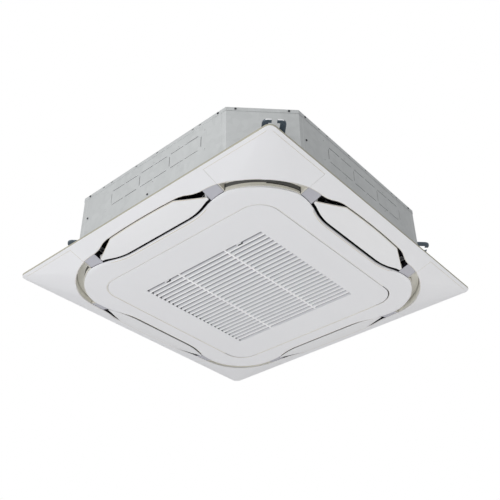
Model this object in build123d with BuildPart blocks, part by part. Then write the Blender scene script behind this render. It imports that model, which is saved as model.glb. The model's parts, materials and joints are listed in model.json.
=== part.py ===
from build123d import *
import os
from math import cos, radians, sin, sqrt

os.makedirs("parts", exist_ok=True)

# Ceiling cassette air conditioner, in millimetres.
# Z points up. The origin is the middle of the panel's lowest face. The square panel hangs under
# the ceiling plane, and the eight-sided casing stands above it, inside the ceiling.
# East is +X, north +Y, west -X and south -Y. A side piece is drawn on the east side and turned.

SIDES = ("east", "north", "west", "south")
CORNERS = ("north_east", "north_west", "south_west", "south_east")

# ---------------------------------------------------------------- panel sizes
panel_side = 950.0        # square outer edge of the panel
panel_rim = 5.0           # height of the upright rim
ceiling = 36.0            # height of the ceiling plane
rim_radius = 20.0         # plan radius of the panel's corners
flat_side = 746.0         # the flat middle of the underside, where the slopes begin
flat_radius = 130.0
wall = 3.0                # moulded wall
seat_width = 14.0         # ring that lies against the ceiling
collar_top = 46.0         # top of the air duct collars
shelf = 3.0               # shelf of the collar that reaches in under the casing
seal_top = 50.0           # top of the foam seals on the collars, and bottom of the casing
seal_wide = 8.0
joint_gap = 0.5           # gap between fixed mouldings
cut_low = -24.0           # cutting tools reach from here
cut_high = 96.0           # to here

# outer edge of the air outlet
outlet_mid = 436.0
outlet_flat = 121.0
outlet_bow = 3.0
outlet_lobe = 418.0
outlet_lobe_at = 210.0
# inner edge of the air outlet, the outline of the fixed island
island_mid = 362.0
island_flat = 108.0
island_lobe = 387.0
island_lobe_at = 246.0
island_shoulder = 80.0    # tighter arc at each end of the island's corner
shoulder_turn = 20.0      # degrees that it turns

# suction grille
grille_half = 310.0
grille_radius = 62.0
grille_seam = 3.5         # seam between the grille and the island
grille_recess = 6.0       # room for the grille's edge above the lip
ledge_rise = 25.5         # ledge of the island above the grille
skin = 2.5                # face of the grille
grille_rim = 14.0         # height of the grille's edge wall
slot_count = 25
slot_pitch = 16.8
slot_width = 11.4
slot_half_length = 219.0
rib_at = 88.0
rib_width = 7.0
web_rise = 10.0           # slanted webs behind the slots
web_lean = 8.0
web_wall = 1.6

# hinge and latches of the grille
hinge_x = 300.0
hinge_z = 6.0
hinge_y = 200.0
hinge_pin_r = 1.5
hinge_fit = 0.05
lug_width = 6.0
lug_radius = 3.2
ear_width = 6.0
side_gap = 1.5
latch_y = 138.0
latch_width = 16.0
latch_travel = 5.0
latch_wall = 3.0
latch_knob = 3.0
latch_clear = 0.6         # the tongue stops this short of the lip
slide_gap = 0.3

# flaps
flap_gap_out = 1.8        # at the outer edge
flap_gap_in = 8.0         # at the inner edge
flap_tip_x = 397.0
flap_tip_y = 203.0
flap_tip_radius = 2.6
flap_wall = 3.2
flap_lift = 2.6           # inner edge above the lowest face of the panel
flap_crown = 1.2
flap_pin_r = 3.0
flap_pin_x = 394.0
flap_pin_z = 20.0
flap_arm = 5.0
flap_boss = 5.0
bearing_fit = 0.06

# bearing blocks and swing motors
block_from = 206.0
block_to = 252.0
block_lift = 2.5          # block's face above the line of the underside
pin_depth = 11.0
block_web = 3.0           # wall between the bearing and the motor pocket
motor_r = 11.0
motor_long = 16.0
motor_x = 400.0
motor_z = 24.2
motor_shaft_r = 2.0

# corner covers and corner guides
cover_from = 254.0
cover_half = 464.0
cover_radius = 14.0
cover_wall = 2.6
cover_seat = 6.0
guide_wall = 2.2
guide_low = 6.0
guide_shelf = 28.0
guide_top = 44.0
guide_slot = 7.0
guide_slot_in = 20.0      # from the guide's end to its slot
panel_screw_at = 368.0
panel_screw_r = 2.4
panel_screw_depth = 18.0  # seat of the screw head above the lowest face
panel_screw_head = 3.0
panel_screw_out = 6.0     # past the bottom of the casing
boss_r = 8.0

# ---------------------------------------------------------------- casing sizes
body_side = 840.0
body_cut = 135.0          # leg of each cut corner
body_height = 204.0
body_low = seal_top
body_high = body_low + body_height
sheet = 1.2
lip = 12.0                # turned-down edge of the top plate
plate_split = 269.0       # half width of a side plate
plate_seam = 0.3
flange = 14.0
knockout_wide = 118.0
knockout_high = 50.0
knockout_from = -157.0
knockout_z = 187.0
slit = 2.2
bridge = 7.0
small_hole_r = 1.7
small_hole_from = -178.0
small_hole_pitch = 97.0
small_hole_rise = 34.0    # above and below the middle of the knock-outs
screw_r = 1.9
screw_head_r = 3.0
screw_head = 2.0
screw_long = 2.2
screw_at = 258.0
screw_down = 6.0          # below the top of the casing
corner_screw_at = 70.0
screw_room = 0.2
low_screw_z = 116.0
seam_screw_z = 166.0

# hangers: rods at 710 by 780 between centres
rod_pitch_x = 710.0
rod_pitch_y = 780.0
rod_z = 161.0
hanger_sheet = 2.3
hanger_wide = 62.0
hanger_reach = 24.0       # past the rod's centre
hanger_round = 15.0
hanger_hole_r = 15.0
hanger_mouth = 14.0
hanger_prong = 11.0
hanger_rim = 2.4          # rim turned up along the outer edge
hanger_foot = 46.0

# ---------------------------------------------------------------- inner sizes
liner_inset = 3.5
foam = 9.0
liner_roof = 13.0
pan_low = body_low + sheet + 0.2
pan_high = 84.0
pan_groove = 76.0         # the coil stands here
pan_opening = 250.0
pan_step = 12.0
pan_step_z = 60.0
duct_wall = 9.0
coil_out = 345.0
coil_in = 300.0
coil_radius = 130.0
coil_high = 238.0
coil_end = 170.0
groove_room = 7.0
tube_r = 3.5
bend_r = 9.0
bell_wall = 2.5
bell_plate_r = 205.0
bell_roll = 42.0
fan_eye = 168.0
fan_r = 238.0
fan_low = 96.0
fan_top = 222.0
fan_wall = 2.5
blade_count = 7
blade_in = 150.0
hub_top_r = 105.0
hub_low_r = 78.0
hub_low = 151.5
boss_low = 140.0
hub_boss_r = 18.0
shaft_r = 6.0
shaft_fit = 0.06
fan_motor_r = 70.0
fan_motor_low = 162.0
fan_motor_high = 232.0
isolator_r = 9.0
isolator_at = 82.0
box_long = 300.0
box_wide = 48.0
box_y = -233.0
box_low = 27.2
pipe_y = 238.0
gas_z = 144.0
gas_r = 7.95
liquid_z = 196.0
liquid_r = 4.76
union_from = 426.0
union_hex = 20.0          # six-sided part of a flare union
union_thread = 14.0       # threaded part, for the flare nut of the pipe outside
union_wall = 3.15
pipe_out = 440.0          # the pipe ends inside the union
drain_x = 226.0
drain_z = 208.0
drain_r = 16.0
drain_out = 462.0
socket_flange = 3.0
cable_x = 214.0
cable_z = 120.0
cable_r = 9.0
grommet_wall = 3.0
pump_at = 292.0
pump_r = 30.0
float_x = 214.0
float_y = 318.0
float_r = 13.0
float_travel = 8.0

half_panel = panel_side / 2
half_body = body_side / 2
lowest = 0.0
above = ceiling + 1        # cutting tools of the panel end here
rim_low = ceiling - panel_rim


# ---------------------------------------------------------------- outlines and helpers
def slab(outline, low, high):
    """An outline in plan, made solid between two heights."""
    with BuildPart(mode=Mode.PRIVATE) as solid:
        with BuildSketch(Plane.XY.offset(low)):
            add(outline)
        extrude(amount=high - low)
    return solid.part


def bar(x0, x1, y0, y1, z0, z1):
    """A box between two corners."""
    size = (x1 - x0, y1 - y0, z1 - z0)
    return Pos((x0 + x1) / 2, (y0 + y1) / 2, (z0 + z1) / 2) * Box(*size, mode=Mode.PRIVATE)


def post(x, y, z0, z1, radius):
    """An upright round bar."""
    return Pos(x, y, (z0 + z1) / 2) * Cylinder(radius, z1 - z0, mode=Mode.PRIVATE)


def rod_y(x, z, y0, y1, radius):
    """A round bar along Y."""
    return Pos(x, (y0 + y1) / 2, z) * Rot(90, 0, 0) * Cylinder(radius, y1 - y0, mode=Mode.PRIVATE)


def rod_x(y, z, x0, x1, radius):
    """A round bar along X."""
    return Pos((x0 + x1) / 2, y, z) * Rot(0, 90, 0) * Cylinder(radius, x1 - x0, mode=Mode.PRIVATE)


def soft_square(half, radius):
    """A square with round corners."""
    with BuildSketch(mode=Mode.PRIVATE) as outline:
        RectangleRounded(2 * half, 2 * half, radius)
    return outline.sketch


def octagon(inset):
    """The casing's outline, moved inwards by inset."""
    half = half_body - inset
    cut = body_cut - (2 - sqrt(2)) * inset
    with BuildSketch(mode=Mode.PRIVATE) as outline:
        Rectangle(2 * half, 2 * half)
        chamfer(outline.vertices(), cut)
    return outline.sketch


def lobed(middle, flat, lobe, lobe_at, bow, shoulder):
    """A square outline with four equal lobed corners. Each side is straight, or bowed by bow,
    as far as flat, then an S-bend of two equal arcs takes it to the lobe. The corner between
    two lobes is a wide arc with a shoulder arc at each end."""
    step = lobe - middle
    run = lobe_at - flat
    sign = 1 if step > 0 else -1
    bend = (step**2 + run**2) / (4 * abs(step))
    rise = bend - sqrt(bend**2 - (run / 4) ** 2)
    turned = radians(shoulder_turn)
    spread = (lobe - lobe_at - shoulder) / (cos(turned) - sin(turned))
    centre = lobe - shoulder - spread * cos(turned)
    corner = shoulder + spread
    diagonal = centre + corner * cos(radians(45))
    first = (lobe - shoulder * (1 - cos(turned / 2)), lobe_at + shoulder * sin(turned / 2))
    second = (lobe - shoulder * (1 - cos(turned)), lobe_at + shoulder * sin(turned))
    between = (turned + radians(45)) / 2
    third = (centre + corner * cos(between), centre + corner * sin(between))
    half_way = (middle + step / 2, flat + run / 2)
    with BuildLine(mode=Mode.PRIVATE) as side:
        if bow:
            ThreePointArc((middle, -flat), (middle + bow, 0), (middle, flat))
        else:
            Line((middle, -flat), (middle, flat))
        for end in (1, -1):
            low = (middle + sign * rise, end * (flat + run / 4))
            high = (lobe - sign * rise, end * (lobe_at - run / 4))
            ThreePointArc((middle, end * flat), low, (half_way[0], end * half_way[1]))
            ThreePointArc((half_way[0], end * half_way[1]), high, (lobe, end * lobe_at))
            ThreePointArc((lobe, end * lobe_at), (first[0], end * first[1]), (second[0], end * second[1]))
            ThreePointArc((second[0], end * second[1]), (third[0], end * third[1]), (diagonal, end * diagonal))
    with BuildSketch(mode=Mode.PRIVATE) as outline:
        with BuildLine():
            for turn in range(4):
                add(side.line.rotate(Axis.Z, 90 * turn))
        make_face()
    return outline.sketch


def outlet(grow=0.0):
    """Outer edge of the air outlet, moved outwards by grow."""
    lobe = outlet_lobe + grow
    return lobed(outlet_mid + grow, outlet_flat, lobe, outlet_lobe_at, outlet_bow, lobe - outlet_lobe_at)


def island(grow=0.0):
    """Inner edge of the air outlet, moved outwards by grow."""
    shoulder = island_shoulder + grow
    return lobed(island_mid + grow, island_flat, island_lobe + grow, island_lobe_at, 0, shoulder)


def dome(lift, top):
    """Everything between the panel's underside, raised by lift, and the height top. The
    underside is a flat middle with four slopes that run out to the rim."""
    with BuildPart(mode=Mode.PRIVATE) as block:
        with BuildSketch(Plane.XY.offset(lowest + lift)):
            RectangleRounded(flat_side, flat_side, flat_radius)
        with BuildSketch(Plane.XY.offset(rim_low + lift)):
            RectangleRounded(panel_side, panel_side, rim_radius)
        loft(ruled=True)
        with BuildSketch(Plane.XY.offset(rim_low + lift)):
            RectangleRounded(panel_side, panel_side, rim_radius)
        extrude(amount=top - rim_low - lift)
    return block.part


def in_four(shape):
    """The shape and its copies on the other three sides."""
    return [shape.rotate(Axis.Z, 90 * turn) for turn in range(4)]


def in_corners(shape):
    """A piece drawn at the north-east corner, mirrored to all four corners."""
    west = shape.mirror(Plane.YZ)
    south = shape.mirror(Plane.XZ)
    return [shape, west, west.mirror(Plane.XZ), south]


# ---------------------------------------------------------------- panel frame
throat_inset = liner_inset + duct_wall
throat_grow = guide_wall + 2 * slide_gap
outlet_tool = slab(outlet(), cut_low, collar_top - shelf)
throat_tool = slab(octagon(throat_inset), cut_low, cut_high) + slab(island(throat_grow), cut_low, cut_high)
throat_tool = throat_tool & slab(outlet(), cut_low, cut_high)
collar = slab(outlet(wall), ceiling, collar_top)
seat_ring = slab(soft_square(half_panel - seat_width, rim_radius), cut_low, above)
trough = (seat_ring - slab(outlet(wall), cut_low, cut_high)) & dome(wall, above)

cover_cut = cover_wall + slide_gap
pocket_plan = slab(soft_square(cover_half + joint_gap, cover_radius + joint_gap), cut_low, above)
pocket_from = cover_from - joint_gap
pocket_corner = bar(pocket_from, half_panel, pocket_from, half_panel, cut_low, above)
pocket = (pocket_plan & pocket_corner) - dome(cover_cut, above + 1)
floor_corner = pocket_corner & seat_ring
trough_floor = (floor_corner - slab(outlet(wall), cut_low, cut_high)) - dome(cover_cut + wall, above + 1)
access_plan = slab(soft_square(cover_half - cover_seat, cover_radius), cut_low, above)
access_from = cover_from + cover_seat
access = access_plan & bar(access_from, half_panel, access_from, half_panel, cut_low, above)
access = access - slab(outlet(wall + cover_seat), cut_low, cut_high)
screw_boss = post(panel_screw_at, panel_screw_at, cut_low, seal_top, boss_r) & dome(cover_cut, cut_high)
screw_way = post(panel_screw_at, panel_screw_at, cut_low, cut_high, panel_screw_r + screw_room)
head_high = lowest + panel_screw_depth
head_room = post(panel_screw_at, panel_screw_at, cut_low, head_high, boss_r - 2)
trough_tool = trough - Compound(in_corners(trough_floor))

with BuildPart() as panel_frame:
    add(dome(0, ceiling))
    add(trough_tool, mode=Mode.SUBTRACT)
    add(collar)
    add(outlet_tool, mode=Mode.SUBTRACT)
    add(throat_tool, mode=Mode.SUBTRACT)
    for tool in in_corners(pocket):
        add(tool, mode=Mode.SUBTRACT)
    for tool in in_corners(access):
        add(tool, mode=Mode.SUBTRACT)
    for piece in in_corners(screw_boss):
        add(piece)
    for tool in in_corners(screw_way) + in_corners(head_room):
        add(tool, mode=Mode.SUBTRACT)
panel_frame.part.label = "panel_frame"
export_step(panel_frame.part, "parts/panel_frame.step")

# ---------------------------------------------------------------- corner covers
cover_plan = slab(soft_square(cover_half, cover_radius), cut_low, above)
cover_corner = bar(cover_from, half_panel, cover_from, half_panel, cut_low, above)
cover_skin = ((cover_plan & cover_corner) - outlet_tool) & (dome(0, ceiling) - dome(cover_wall, above))

for corner, piece in zip(CORNERS, in_corners(cover_skin)):
    with BuildPart() as corner_cover:
        add(piece)
    corner_cover.part.label = f"corner_cover_{corner}"
    export_step(corner_cover.part, f"parts/corner_cover_{corner}.step")

# ---------------------------------------------------------------- fixed island of the panel
lip_half = grille_half + grille_seam
recess_half = grille_half + grille_recess
lip_radius = grille_radius + grille_seam
recess_radius = grille_radius + grille_recess
ledge_z = lowest + ledge_rise
island_tool = slab(island(), cut_low, collar_top)
island_inside = slab(island(-wall), cut_low, cut_high)
opening_tool = slab(soft_square(lip_half, lip_radius), cut_low, ledge_z)
recess_tool = slab(soft_square(recess_half, recess_radius), lowest + skin, ledge_z)
edge_wall = slab(soft_square(recess_half + wall, recess_radius + wall), lowest + 1, ledge_z + skin)
ledge_inner = hinge_x - lug_radius - 1.5
ledge_tool = slab(soft_square(ledge_inner, grille_radius), ledge_z - 1, cut_high)
bridge_ring = slab(outlet(-slide_gap), ceiling, ceiling + wall) - island_inside
bridge_zone = bar(ledge_inner, half_panel, block_from, block_to, ceiling, ceiling + wall)
bridge_north = bridge_ring & bridge_zone
bridge_south = bridge_north.mirror(Plane.XZ)
lug_from = hinge_y - lug_width / 2
lug_to = hinge_y + lug_width / 2
lug_west = hinge_x - lug_radius
lug_east = hinge_x + lug_radius
lug_round = rod_y(hinge_x, hinge_z, lug_from, lug_to, lug_radius)
lug_bore = rod_y(hinge_x, hinge_z, lug_from - 1, lug_to + 1, hinge_pin_r + hinge_fit)
lug = bar(lug_west, lug_east, lug_from, lug_to, hinge_z, ledge_z) + lug_round - lug_bore

with BuildPart() as inner_panel:
    add(island_tool & dome(0, collar_top))
    add(island_inside & dome(wall, cut_high), mode=Mode.SUBTRACT)
    add(edge_wall)
    add(opening_tool, mode=Mode.SUBTRACT)
    add(recess_tool, mode=Mode.SUBTRACT)
    add(ledge_tool, mode=Mode.SUBTRACT)
    for piece in in_four(bridge_north) + in_four(bridge_south):
        add(piece)
    add(lug)
    add(lug.mirror(Plane.XZ))
inner_panel.part.label = "inner_panel"
export_step(inner_panel.part, "parts/inner_panel.step")

# ---------------------------------------------------------------- foam seals on the collars
with BuildPart() as seal_strips:
    with BuildSketch(Plane.XY.offset(collar_top)):
        add(octagon(throat_inset - seal_wide))
        add(octagon(throat_inset), mode=Mode.SUBTRACT)
        add(island(throat_grow), mode=Mode.SUBTRACT)
        add(island())
        add(island(-seal_wide), mode=Mode.SUBTRACT)
    extrude(amount=seal_top - collar_top)
    # inside the casing's flange the inner strip swells up to the drain pan
    with BuildSketch(Plane.XY.offset(seal_top)):
        add(island())
        add(island(-seal_wide), mode=Mode.SUBTRACT)
        add(octagon(flange + joint_gap), mode=Mode.INTERSECT)
    extrude(amount=pan_low - seal_top)
seal_strips.part.label = "seal_strips"
export_step(seal_strips.part, "parts/seal_strips.step")

# ---------------------------------------------------------------- flaps
flap_mid = outlet_mid - flap_gap_out
flap_inner = island_mid + flap_gap_in
flap_slope = (half_panel - flat_side / 2) / rim_low
outer_rise = (flap_mid + outlet_bow - flat_side / 2) / flap_slope
inner_z = lowest + flap_lift
outer_z = lowest + outer_rise
pin_to = block_from + pin_depth

with BuildPart(mode=Mode.PRIVATE) as flap_plan:
    with BuildSketch(Plane.XY.offset(cut_low)):
        with BuildLine():
            outer_edge = ThreePointArc(
                (flap_mid, -outlet_flat), (flap_mid + outlet_bow, 0), (flap_mid, outlet_flat)
            )
            Polyline(
                outer_edge @ 1,
                (flap_tip_x, flap_tip_y),
                (island_mid, flap_tip_y),
                (island_mid, -flap_tip_y),
                (flap_tip_x, -flap_tip_y),
                outer_edge @ 0,
            )
        make_face()
        add(island(flap_gap_in), mode=Mode.SUBTRACT)
    extrude(amount=cut_high - cut_low)
    tip_edges = flap_plan.edges().filter_by(Axis.Z)
    fillet(tip_edges.filter_by(lambda edge: abs(edge.center().Y) > flap_tip_y - 1), flap_tip_radius)

with BuildPart(mode=Mode.PRIVATE) as flap_section:
    with BuildSketch(Plane.XZ.offset(-flap_tip_y)):
        with BuildLine():
            inner_end = flap_inner - 3
            outer_end = flap_mid + outlet_bow + 3
            middle_x = (inner_end + outer_end) / 2
            middle_z = (inner_z + outer_z) / 2 - flap_crown
            face = ThreePointArc((inner_end, inner_z), (middle_x, middle_z), (outer_end, outer_z))
            back = ThreePointArc(
                (inner_end, inner_z + flap_wall),
                (middle_x, middle_z + flap_wall),
                (outer_end, outer_z + flap_wall),
            )
            Line(face @ 0, back @ 0)
            Line(face @ 1, back @ 1)
        make_face()
    extrude(amount=2 * flap_tip_y)

with BuildPart(mode=Mode.PRIVATE) as flap_arm_shape:
    with BuildSketch(Plane.XZ.offset(-flap_tip_y + 0.5)):
        with BuildLine():
            Polyline(
                (flap_pin_x - flap_boss, flap_pin_z),
                (flap_pin_x - flap_boss, inner_z + 6),
                (flap_pin_x + flap_boss - 2, inner_z + 7.5),
                (flap_pin_x + flap_boss, flap_pin_z),
                close=True,
            )
        make_face()
        with Locations((flap_pin_x, flap_pin_z)):
            Circle(flap_boss)
    extrude(amount=flap_arm)

flap_pin = rod_y(flap_pin_x, flap_pin_z, flap_tip_y - flap_arm / 2, pin_to, flap_pin_r)
flap_end = flap_arm_shape.part + flap_pin
flap_shape = (flap_plan.part & flap_section.part) + flap_end + flap_end.mirror(Plane.XZ)

for side, piece in zip(SIDES, in_four(flap_shape)):
    with BuildPart() as flap:
        add(piece)
    flap.part.label = f"flap_{side}"
    export_step(flap.part, f"parts/flap_{side}.step")

# ---------------------------------------------------------------- bearing blocks and swing motors
block_ring = slab(outlet(-joint_gap), cut_low, ceiling) - slab(island(joint_gap), cut_low, ceiling)
block_zone = bar(island_mid, half_panel, block_from, block_to, cut_low, ceiling)
block_body = block_ring & block_zone & dome(block_lift, above)
motor_from = pin_to + 1 + block_web
motor_room = motor_r + 0.4
motor_pocket = rod_y(motor_x, motor_z, motor_from, block_to - 4, motor_room)
pocket_mouth = bar(motor_x - motor_room, motor_x + motor_room, motor_from, block_to - 4, motor_z, above)
pin_bore = rod_y(flap_pin_x, flap_pin_z, block_from - 1, pin_to + 1, flap_pin_r + bearing_fit)
shaft_way = rod_y(flap_pin_x, flap_pin_z, pin_to, motor_from + 1, motor_shaft_r + slide_gap)
block = block_body - motor_pocket - pocket_mouth - pin_bore - shaft_way

with BuildPart() as bearing_blocks:
    for piece in in_four(block) + in_four(block.mirror(Plane.XZ)):
        add(piece)
bearing_blocks.part.label = "bearing_blocks"
export_step(bearing_blocks.part, "parts/bearing_blocks.step")

motor_can = rod_y(motor_x, motor_z, motor_from, motor_from + motor_long, motor_r)
motor_shaft = rod_y(flap_pin_x, flap_pin_z, pin_to + slide_gap, motor_from + 1, motor_shaft_r)

for side, piece in zip(SIDES, in_four(motor_can + motor_shaft)):
    with BuildPart() as swing_motor:
        add(piece)
    swing_motor.part.label = f"swing_motor_{side}"
    export_step(swing_motor.part, f"parts/swing_motor_{side}.step")

# ---------------------------------------------------------------- corner guides of the outlet
guide_from = block_to + 1.5
guide_zone = bar(guide_from, half_panel, guide_from, half_panel, cut_low, cut_high)
island_hole = slab(island(slide_gap), cut_low, cut_high)
guide_skirt = slab(island(slide_gap + guide_wall), guide_low, guide_top) - island_hole
guide_roof = slab(outlet(-joint_gap), guide_shelf, guide_shelf + guide_wall) - island_hole
slot_from = guide_from + guide_slot_in
slot_zone = bar(slot_from, half_panel, slot_from, half_panel, cut_low, cut_high)
slot_ring = slab(outlet(), cut_low, cut_high) - slab(outlet(-guide_slot), cut_low, cut_high)
guide_reach = slab(outlet(-joint_gap), cut_low, guide_shelf) - island_hole
end_zone = bar(guide_from, guide_from + guide_wall, island_lobe_at, half_panel, cut_low, cut_high)
guide_end = guide_reach & end_zone & dome(block_lift, seal_top)
guide_other = guide_end.mirror(Plane((0, 0, 0), x_dir=(1, 1, 0), z_dir=(1, -1, 0)))
guide = ((guide_skirt + guide_roof) & guide_zone) - (slot_ring & slot_zone) + guide_end + guide_other

with BuildPart() as corner_guides:
    for piece in in_corners(guide):
        add(piece)
corner_guides.part.label = "corner_guides"
export_step(corner_guides.part, "parts/corner_guides.step")

# ---------------------------------------------------------------- screws that hold the panel
with BuildPart() as panel_screws:
    for sx in (1, -1):
        for sy in (1, -1):
            screw_x = sx * panel_screw_at
            screw_y = sy * panel_screw_at
            add(post(screw_x, screw_y, head_high, body_low + panel_screw_out, panel_screw_r))
            add(post(screw_x, screw_y, head_high - panel_screw_head, head_high, boss_r - 3))
panel_screws.part.label = "panel_screws"
export_step(panel_screws.part, "parts/panel_screws.step")

# ---------------------------------------------------------------- suction grille
first_slot = -(slot_count - 1) / 2 * slot_pitch
louvre_half = -first_slot + slot_width / 2
bar_width = slot_pitch - slot_width
skin_top = lowest + skin
rim_top = lowest + grille_rim
ear_from = lug_to + side_gap
latch_low = skin_top + slide_gap
latch_high = latch_low + latch_wall

# one slat: a flat bar between two slots with a slanted web behind it
with BuildPart(mode=Mode.PRIVATE) as slat:
    with BuildSketch(Plane.XZ.offset(-slot_half_length - 1)):
        with BuildLine():
            Polyline(
                (0, lowest),
                (bar_width, lowest),
                (bar_width, skin_top),
                (web_wall, skin_top),
                (web_wall - web_lean, skin_top + web_rise),
                (-web_lean, skin_top + web_rise),
                (0, skin_top),
                close=True,
            )
        make_face()
    extrude(amount=2 * slot_half_length + 2)

# one hinge ear of the grille, beside the island's lug
ear_to = ear_from + ear_width
ear_bore = rod_y(hinge_x, hinge_z, ear_from - 1, ear_to + 1, hinge_pin_r + hinge_fit)
ear = bar(lug_west, lug_east, ear_from, ear_to, skin_top - 1, hinge_z + lug_radius) - ear_bore
inner_ear = ear.mirror(Plane.XZ.offset(-hinge_y))
lug_notch = bar(
    grille_half - 2 * skin,
    grille_half + 1,
    lug_from - side_gap,
    lug_to + side_gap,
    skin_top,
    rim_top + 1,
)
latch_notch = bar(
    -grille_half - 1,
    -grille_half + 2 * skin,
    latch_y - latch_width / 2 - slide_gap,
    latch_y + latch_width / 2 + slide_gap,
    skin_top,
    latch_high + slide_gap,
)
web_notch = bar(
    first_slot - slot_width / 2 - web_lean,
    first_slot + slot_width / 2 + web_wall + 0.01,
    latch_y - latch_width / 2 - side_gap,
    latch_y + latch_width / 2 + side_gap,
    skin_top,
    skin_top + web_rise + 1,
)

with BuildPart() as suction_grille:
    with BuildSketch(Plane.XY.offset(lowest)):
        add(soft_square(grille_half, grille_radius))
        Rectangle(2 * louvre_half, 2 * slot_half_length, mode=Mode.SUBTRACT)
    extrude(amount=skin)
    with BuildSketch(Plane.XY.offset(lowest)):
        add(soft_square(grille_half, grille_radius))
        add(soft_square(grille_half - skin, grille_radius - skin), mode=Mode.SUBTRACT)
    extrude(amount=grille_rim)
    for index in range(slot_count):
        slat_x = first_slot + slot_width / 2 + index * slot_pitch
        add(Pos(slat_x, 0, 0) * slat.part)
    for side_y in (rib_at, -rib_at):
        with BuildSketch(Plane.XY.offset(lowest + 1)):
            with Locations((0, side_y)):
                Rectangle(2 * louvre_half, rib_width)
        extrude(amount=skin + web_rise - 1)
    for piece in (ear, inner_ear, ear.mirror(Plane.XZ), inner_ear.mirror(Plane.XZ)):
        add(piece)
    for tool in (lug_notch, latch_notch, web_notch):
        add(tool, mode=Mode.SUBTRACT)
        add(tool.mirror(Plane.XZ), mode=Mode.SUBTRACT)
suction_grille.part.label = "suction_grille"
export_step(suction_grille.part, "parts/suction_grille.step")

# ---------------------------------------------------------------- hinge pins
with BuildPart() as hinge_pins:
    pin_half = ear_to - hinge_y
    for middle_y in (hinge_y, -hinge_y):
        add(rod_y(hinge_x, hinge_z, middle_y - pin_half, middle_y + pin_half, hinge_pin_r))
hinge_pins.part.label = "hinge_pins"
export_step(hinge_pins.part, "parts/hinge_pins.step")

# ---------------------------------------------------------------- latches
knob_x = first_slot - (latch_knob + latch_travel) / 2
latch_tip = -grille_half - grille_seam + latch_clear
latch_south = latch_y - latch_width / 2
latch_north = latch_y + latch_width / 2

with BuildPart(mode=Mode.PRIVATE) as latch_shape:
    add(bar(latch_tip, knob_x + latch_knob, latch_south, latch_north, latch_low, latch_high))
    add(bar(knob_x, knob_x + latch_knob, latch_south, latch_north, lowest, latch_high))

for name, piece in (("north", latch_shape.part), ("south", latch_shape.part.mirror(Plane.XZ))):
    with BuildPart() as latch:
        add(piece)
    latch.part.label = f"latch_{name}"
    export_step(latch.part, f"parts/latch_{name}.step")

# ---------------------------------------------------------------- air filter on the grille
filter_half = 278.0
filter_border = 12.0
filter_bar = 4.0
filter_high = 6.0
filter_mesh_high = 0.8
filter_rest = skin_top + web_rise + slide_gap
filter_leg = 8.0
filter_leg_y = 84.0
filter_inner = filter_half - filter_border

with BuildPart() as filter_frame:
    with BuildSketch(Plane.XY.offset(filter_rest)):
        add(soft_square(filter_half, grille_radius))
        add(soft_square(filter_inner, grille_radius - filter_border), mode=Mode.SUBTRACT)
        with GridLocations(0, filter_half / 2, 1, 3):
            Rectangle(2 * filter_inner + filter_bar, filter_bar)
        with GridLocations(filter_half / 2, 0, 3, 1):
            Rectangle(filter_bar, 2 * filter_inner + filter_bar)
    extrude(amount=filter_high)
    with BuildSketch(Plane.XY.offset(skin_top)):
        with GridLocations(2 * filter_half - filter_border, 2 * filter_leg_y, 2, 2):
            Rectangle(filter_leg, filter_leg)
    extrude(amount=filter_rest - skin_top)
filter_frame.part.label = "filter_frame"
export_step(filter_frame.part, "parts/filter_frame.step")

with BuildPart() as filter_mesh:
    with BuildSketch(Plane.XY.offset(filter_rest + filter_high)):
        add(soft_square(filter_half - filter_bar, grille_radius - filter_bar))
    extrude(amount=filter_mesh_high)
filter_mesh.part.label = "filter_mesh"
export_step(filter_mesh.part, "parts/filter_mesh.step")

# ---------------------------------------------------------------- top plate of the casing
isolator_side = isolator_at / sqrt(2)
isolator_spots = [(sx * isolator_side, sy * isolator_side) for sx in (1, -1) for sy in (1, -1)]
screw_z = body_high - screw_down
chamfer_reach = (2 * half_body - body_cut) / sqrt(2)
corner_screws = []
for turn in range(4):
    for along in (corner_screw_at, -corner_screw_at):
        spot = Rot(0, 0, 45 + 90 * turn) * Pos(chamfer_reach, along, screw_z) * Rot(0, 90, 0)
        corner_screws.append(spot)
side_screws = []
low_screws = []
for turn in range(4):
    for along in (screw_at, -screw_at):
        spot = Rot(0, 0, 90 * turn) * Pos(half_body, along, screw_z) * Rot(0, 90, 0)
        side_screws.append(spot)
    low_screws.append(Rot(0, 0, 90 * turn) * Pos(half_body - sheet, 0, low_screw_z) * Rot(0, 90, 0))
    seam_spot = Rot(0, 0, 90 * turn) * Pos(half_body - sheet, -screw_at, seam_screw_z)
    low_screws.append(seam_spot * Rot(0, 90, 0))
all_screws = corner_screws + side_screws + low_screws
screw_holes = [spot * Cylinder(screw_r + screw_room, 12) for spot in all_screws]

with BuildPart() as top_plate:
    with BuildSketch(Plane.XY.offset(body_high - sheet)):
        add(octagon(0))
    extrude(amount=sheet)
    with BuildSketch(Plane.XY.offset(body_high - lip)):
        add(octagon(0))
        add(octagon(sheet), mode=Mode.SUBTRACT)
    extrude(amount=lip - sheet)
    # pressed stiffening rings
    for ring_r in (130.0, 250.0):
        with BuildSketch(Plane.XY.offset(body_high - sheet)):
            Circle(ring_r + 5)
            Circle(ring_r - 5, mode=Mode.SUBTRACT)
        extrude(amount=sheet / 2, mode=Mode.SUBTRACT)
    for tool in screw_holes:
        add(tool, mode=Mode.SUBTRACT)
top_plate.part.label = "top_plate"
export_step(top_plate.part, "parts/top_plate.step")

# ---------------------------------------------------------------- side plates and corner plates
casing_top = body_high - sheet
ring_outer = slab(octagon(sheet), body_low, casing_top)
casing_ring = ring_outer - slab(octagon(2 * sheet), body_low, casing_top)
flange_ring = slab(octagon(2 * sheet), body_low, body_low + sheet)
flange_ring = flange_ring - slab(octagon(flange), body_low, casing_top)
east_plane = Plane((half_body - sheet, 0, 0), x_dir=(0, 1, 0), z_dir=(1, 0, 0))

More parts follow.
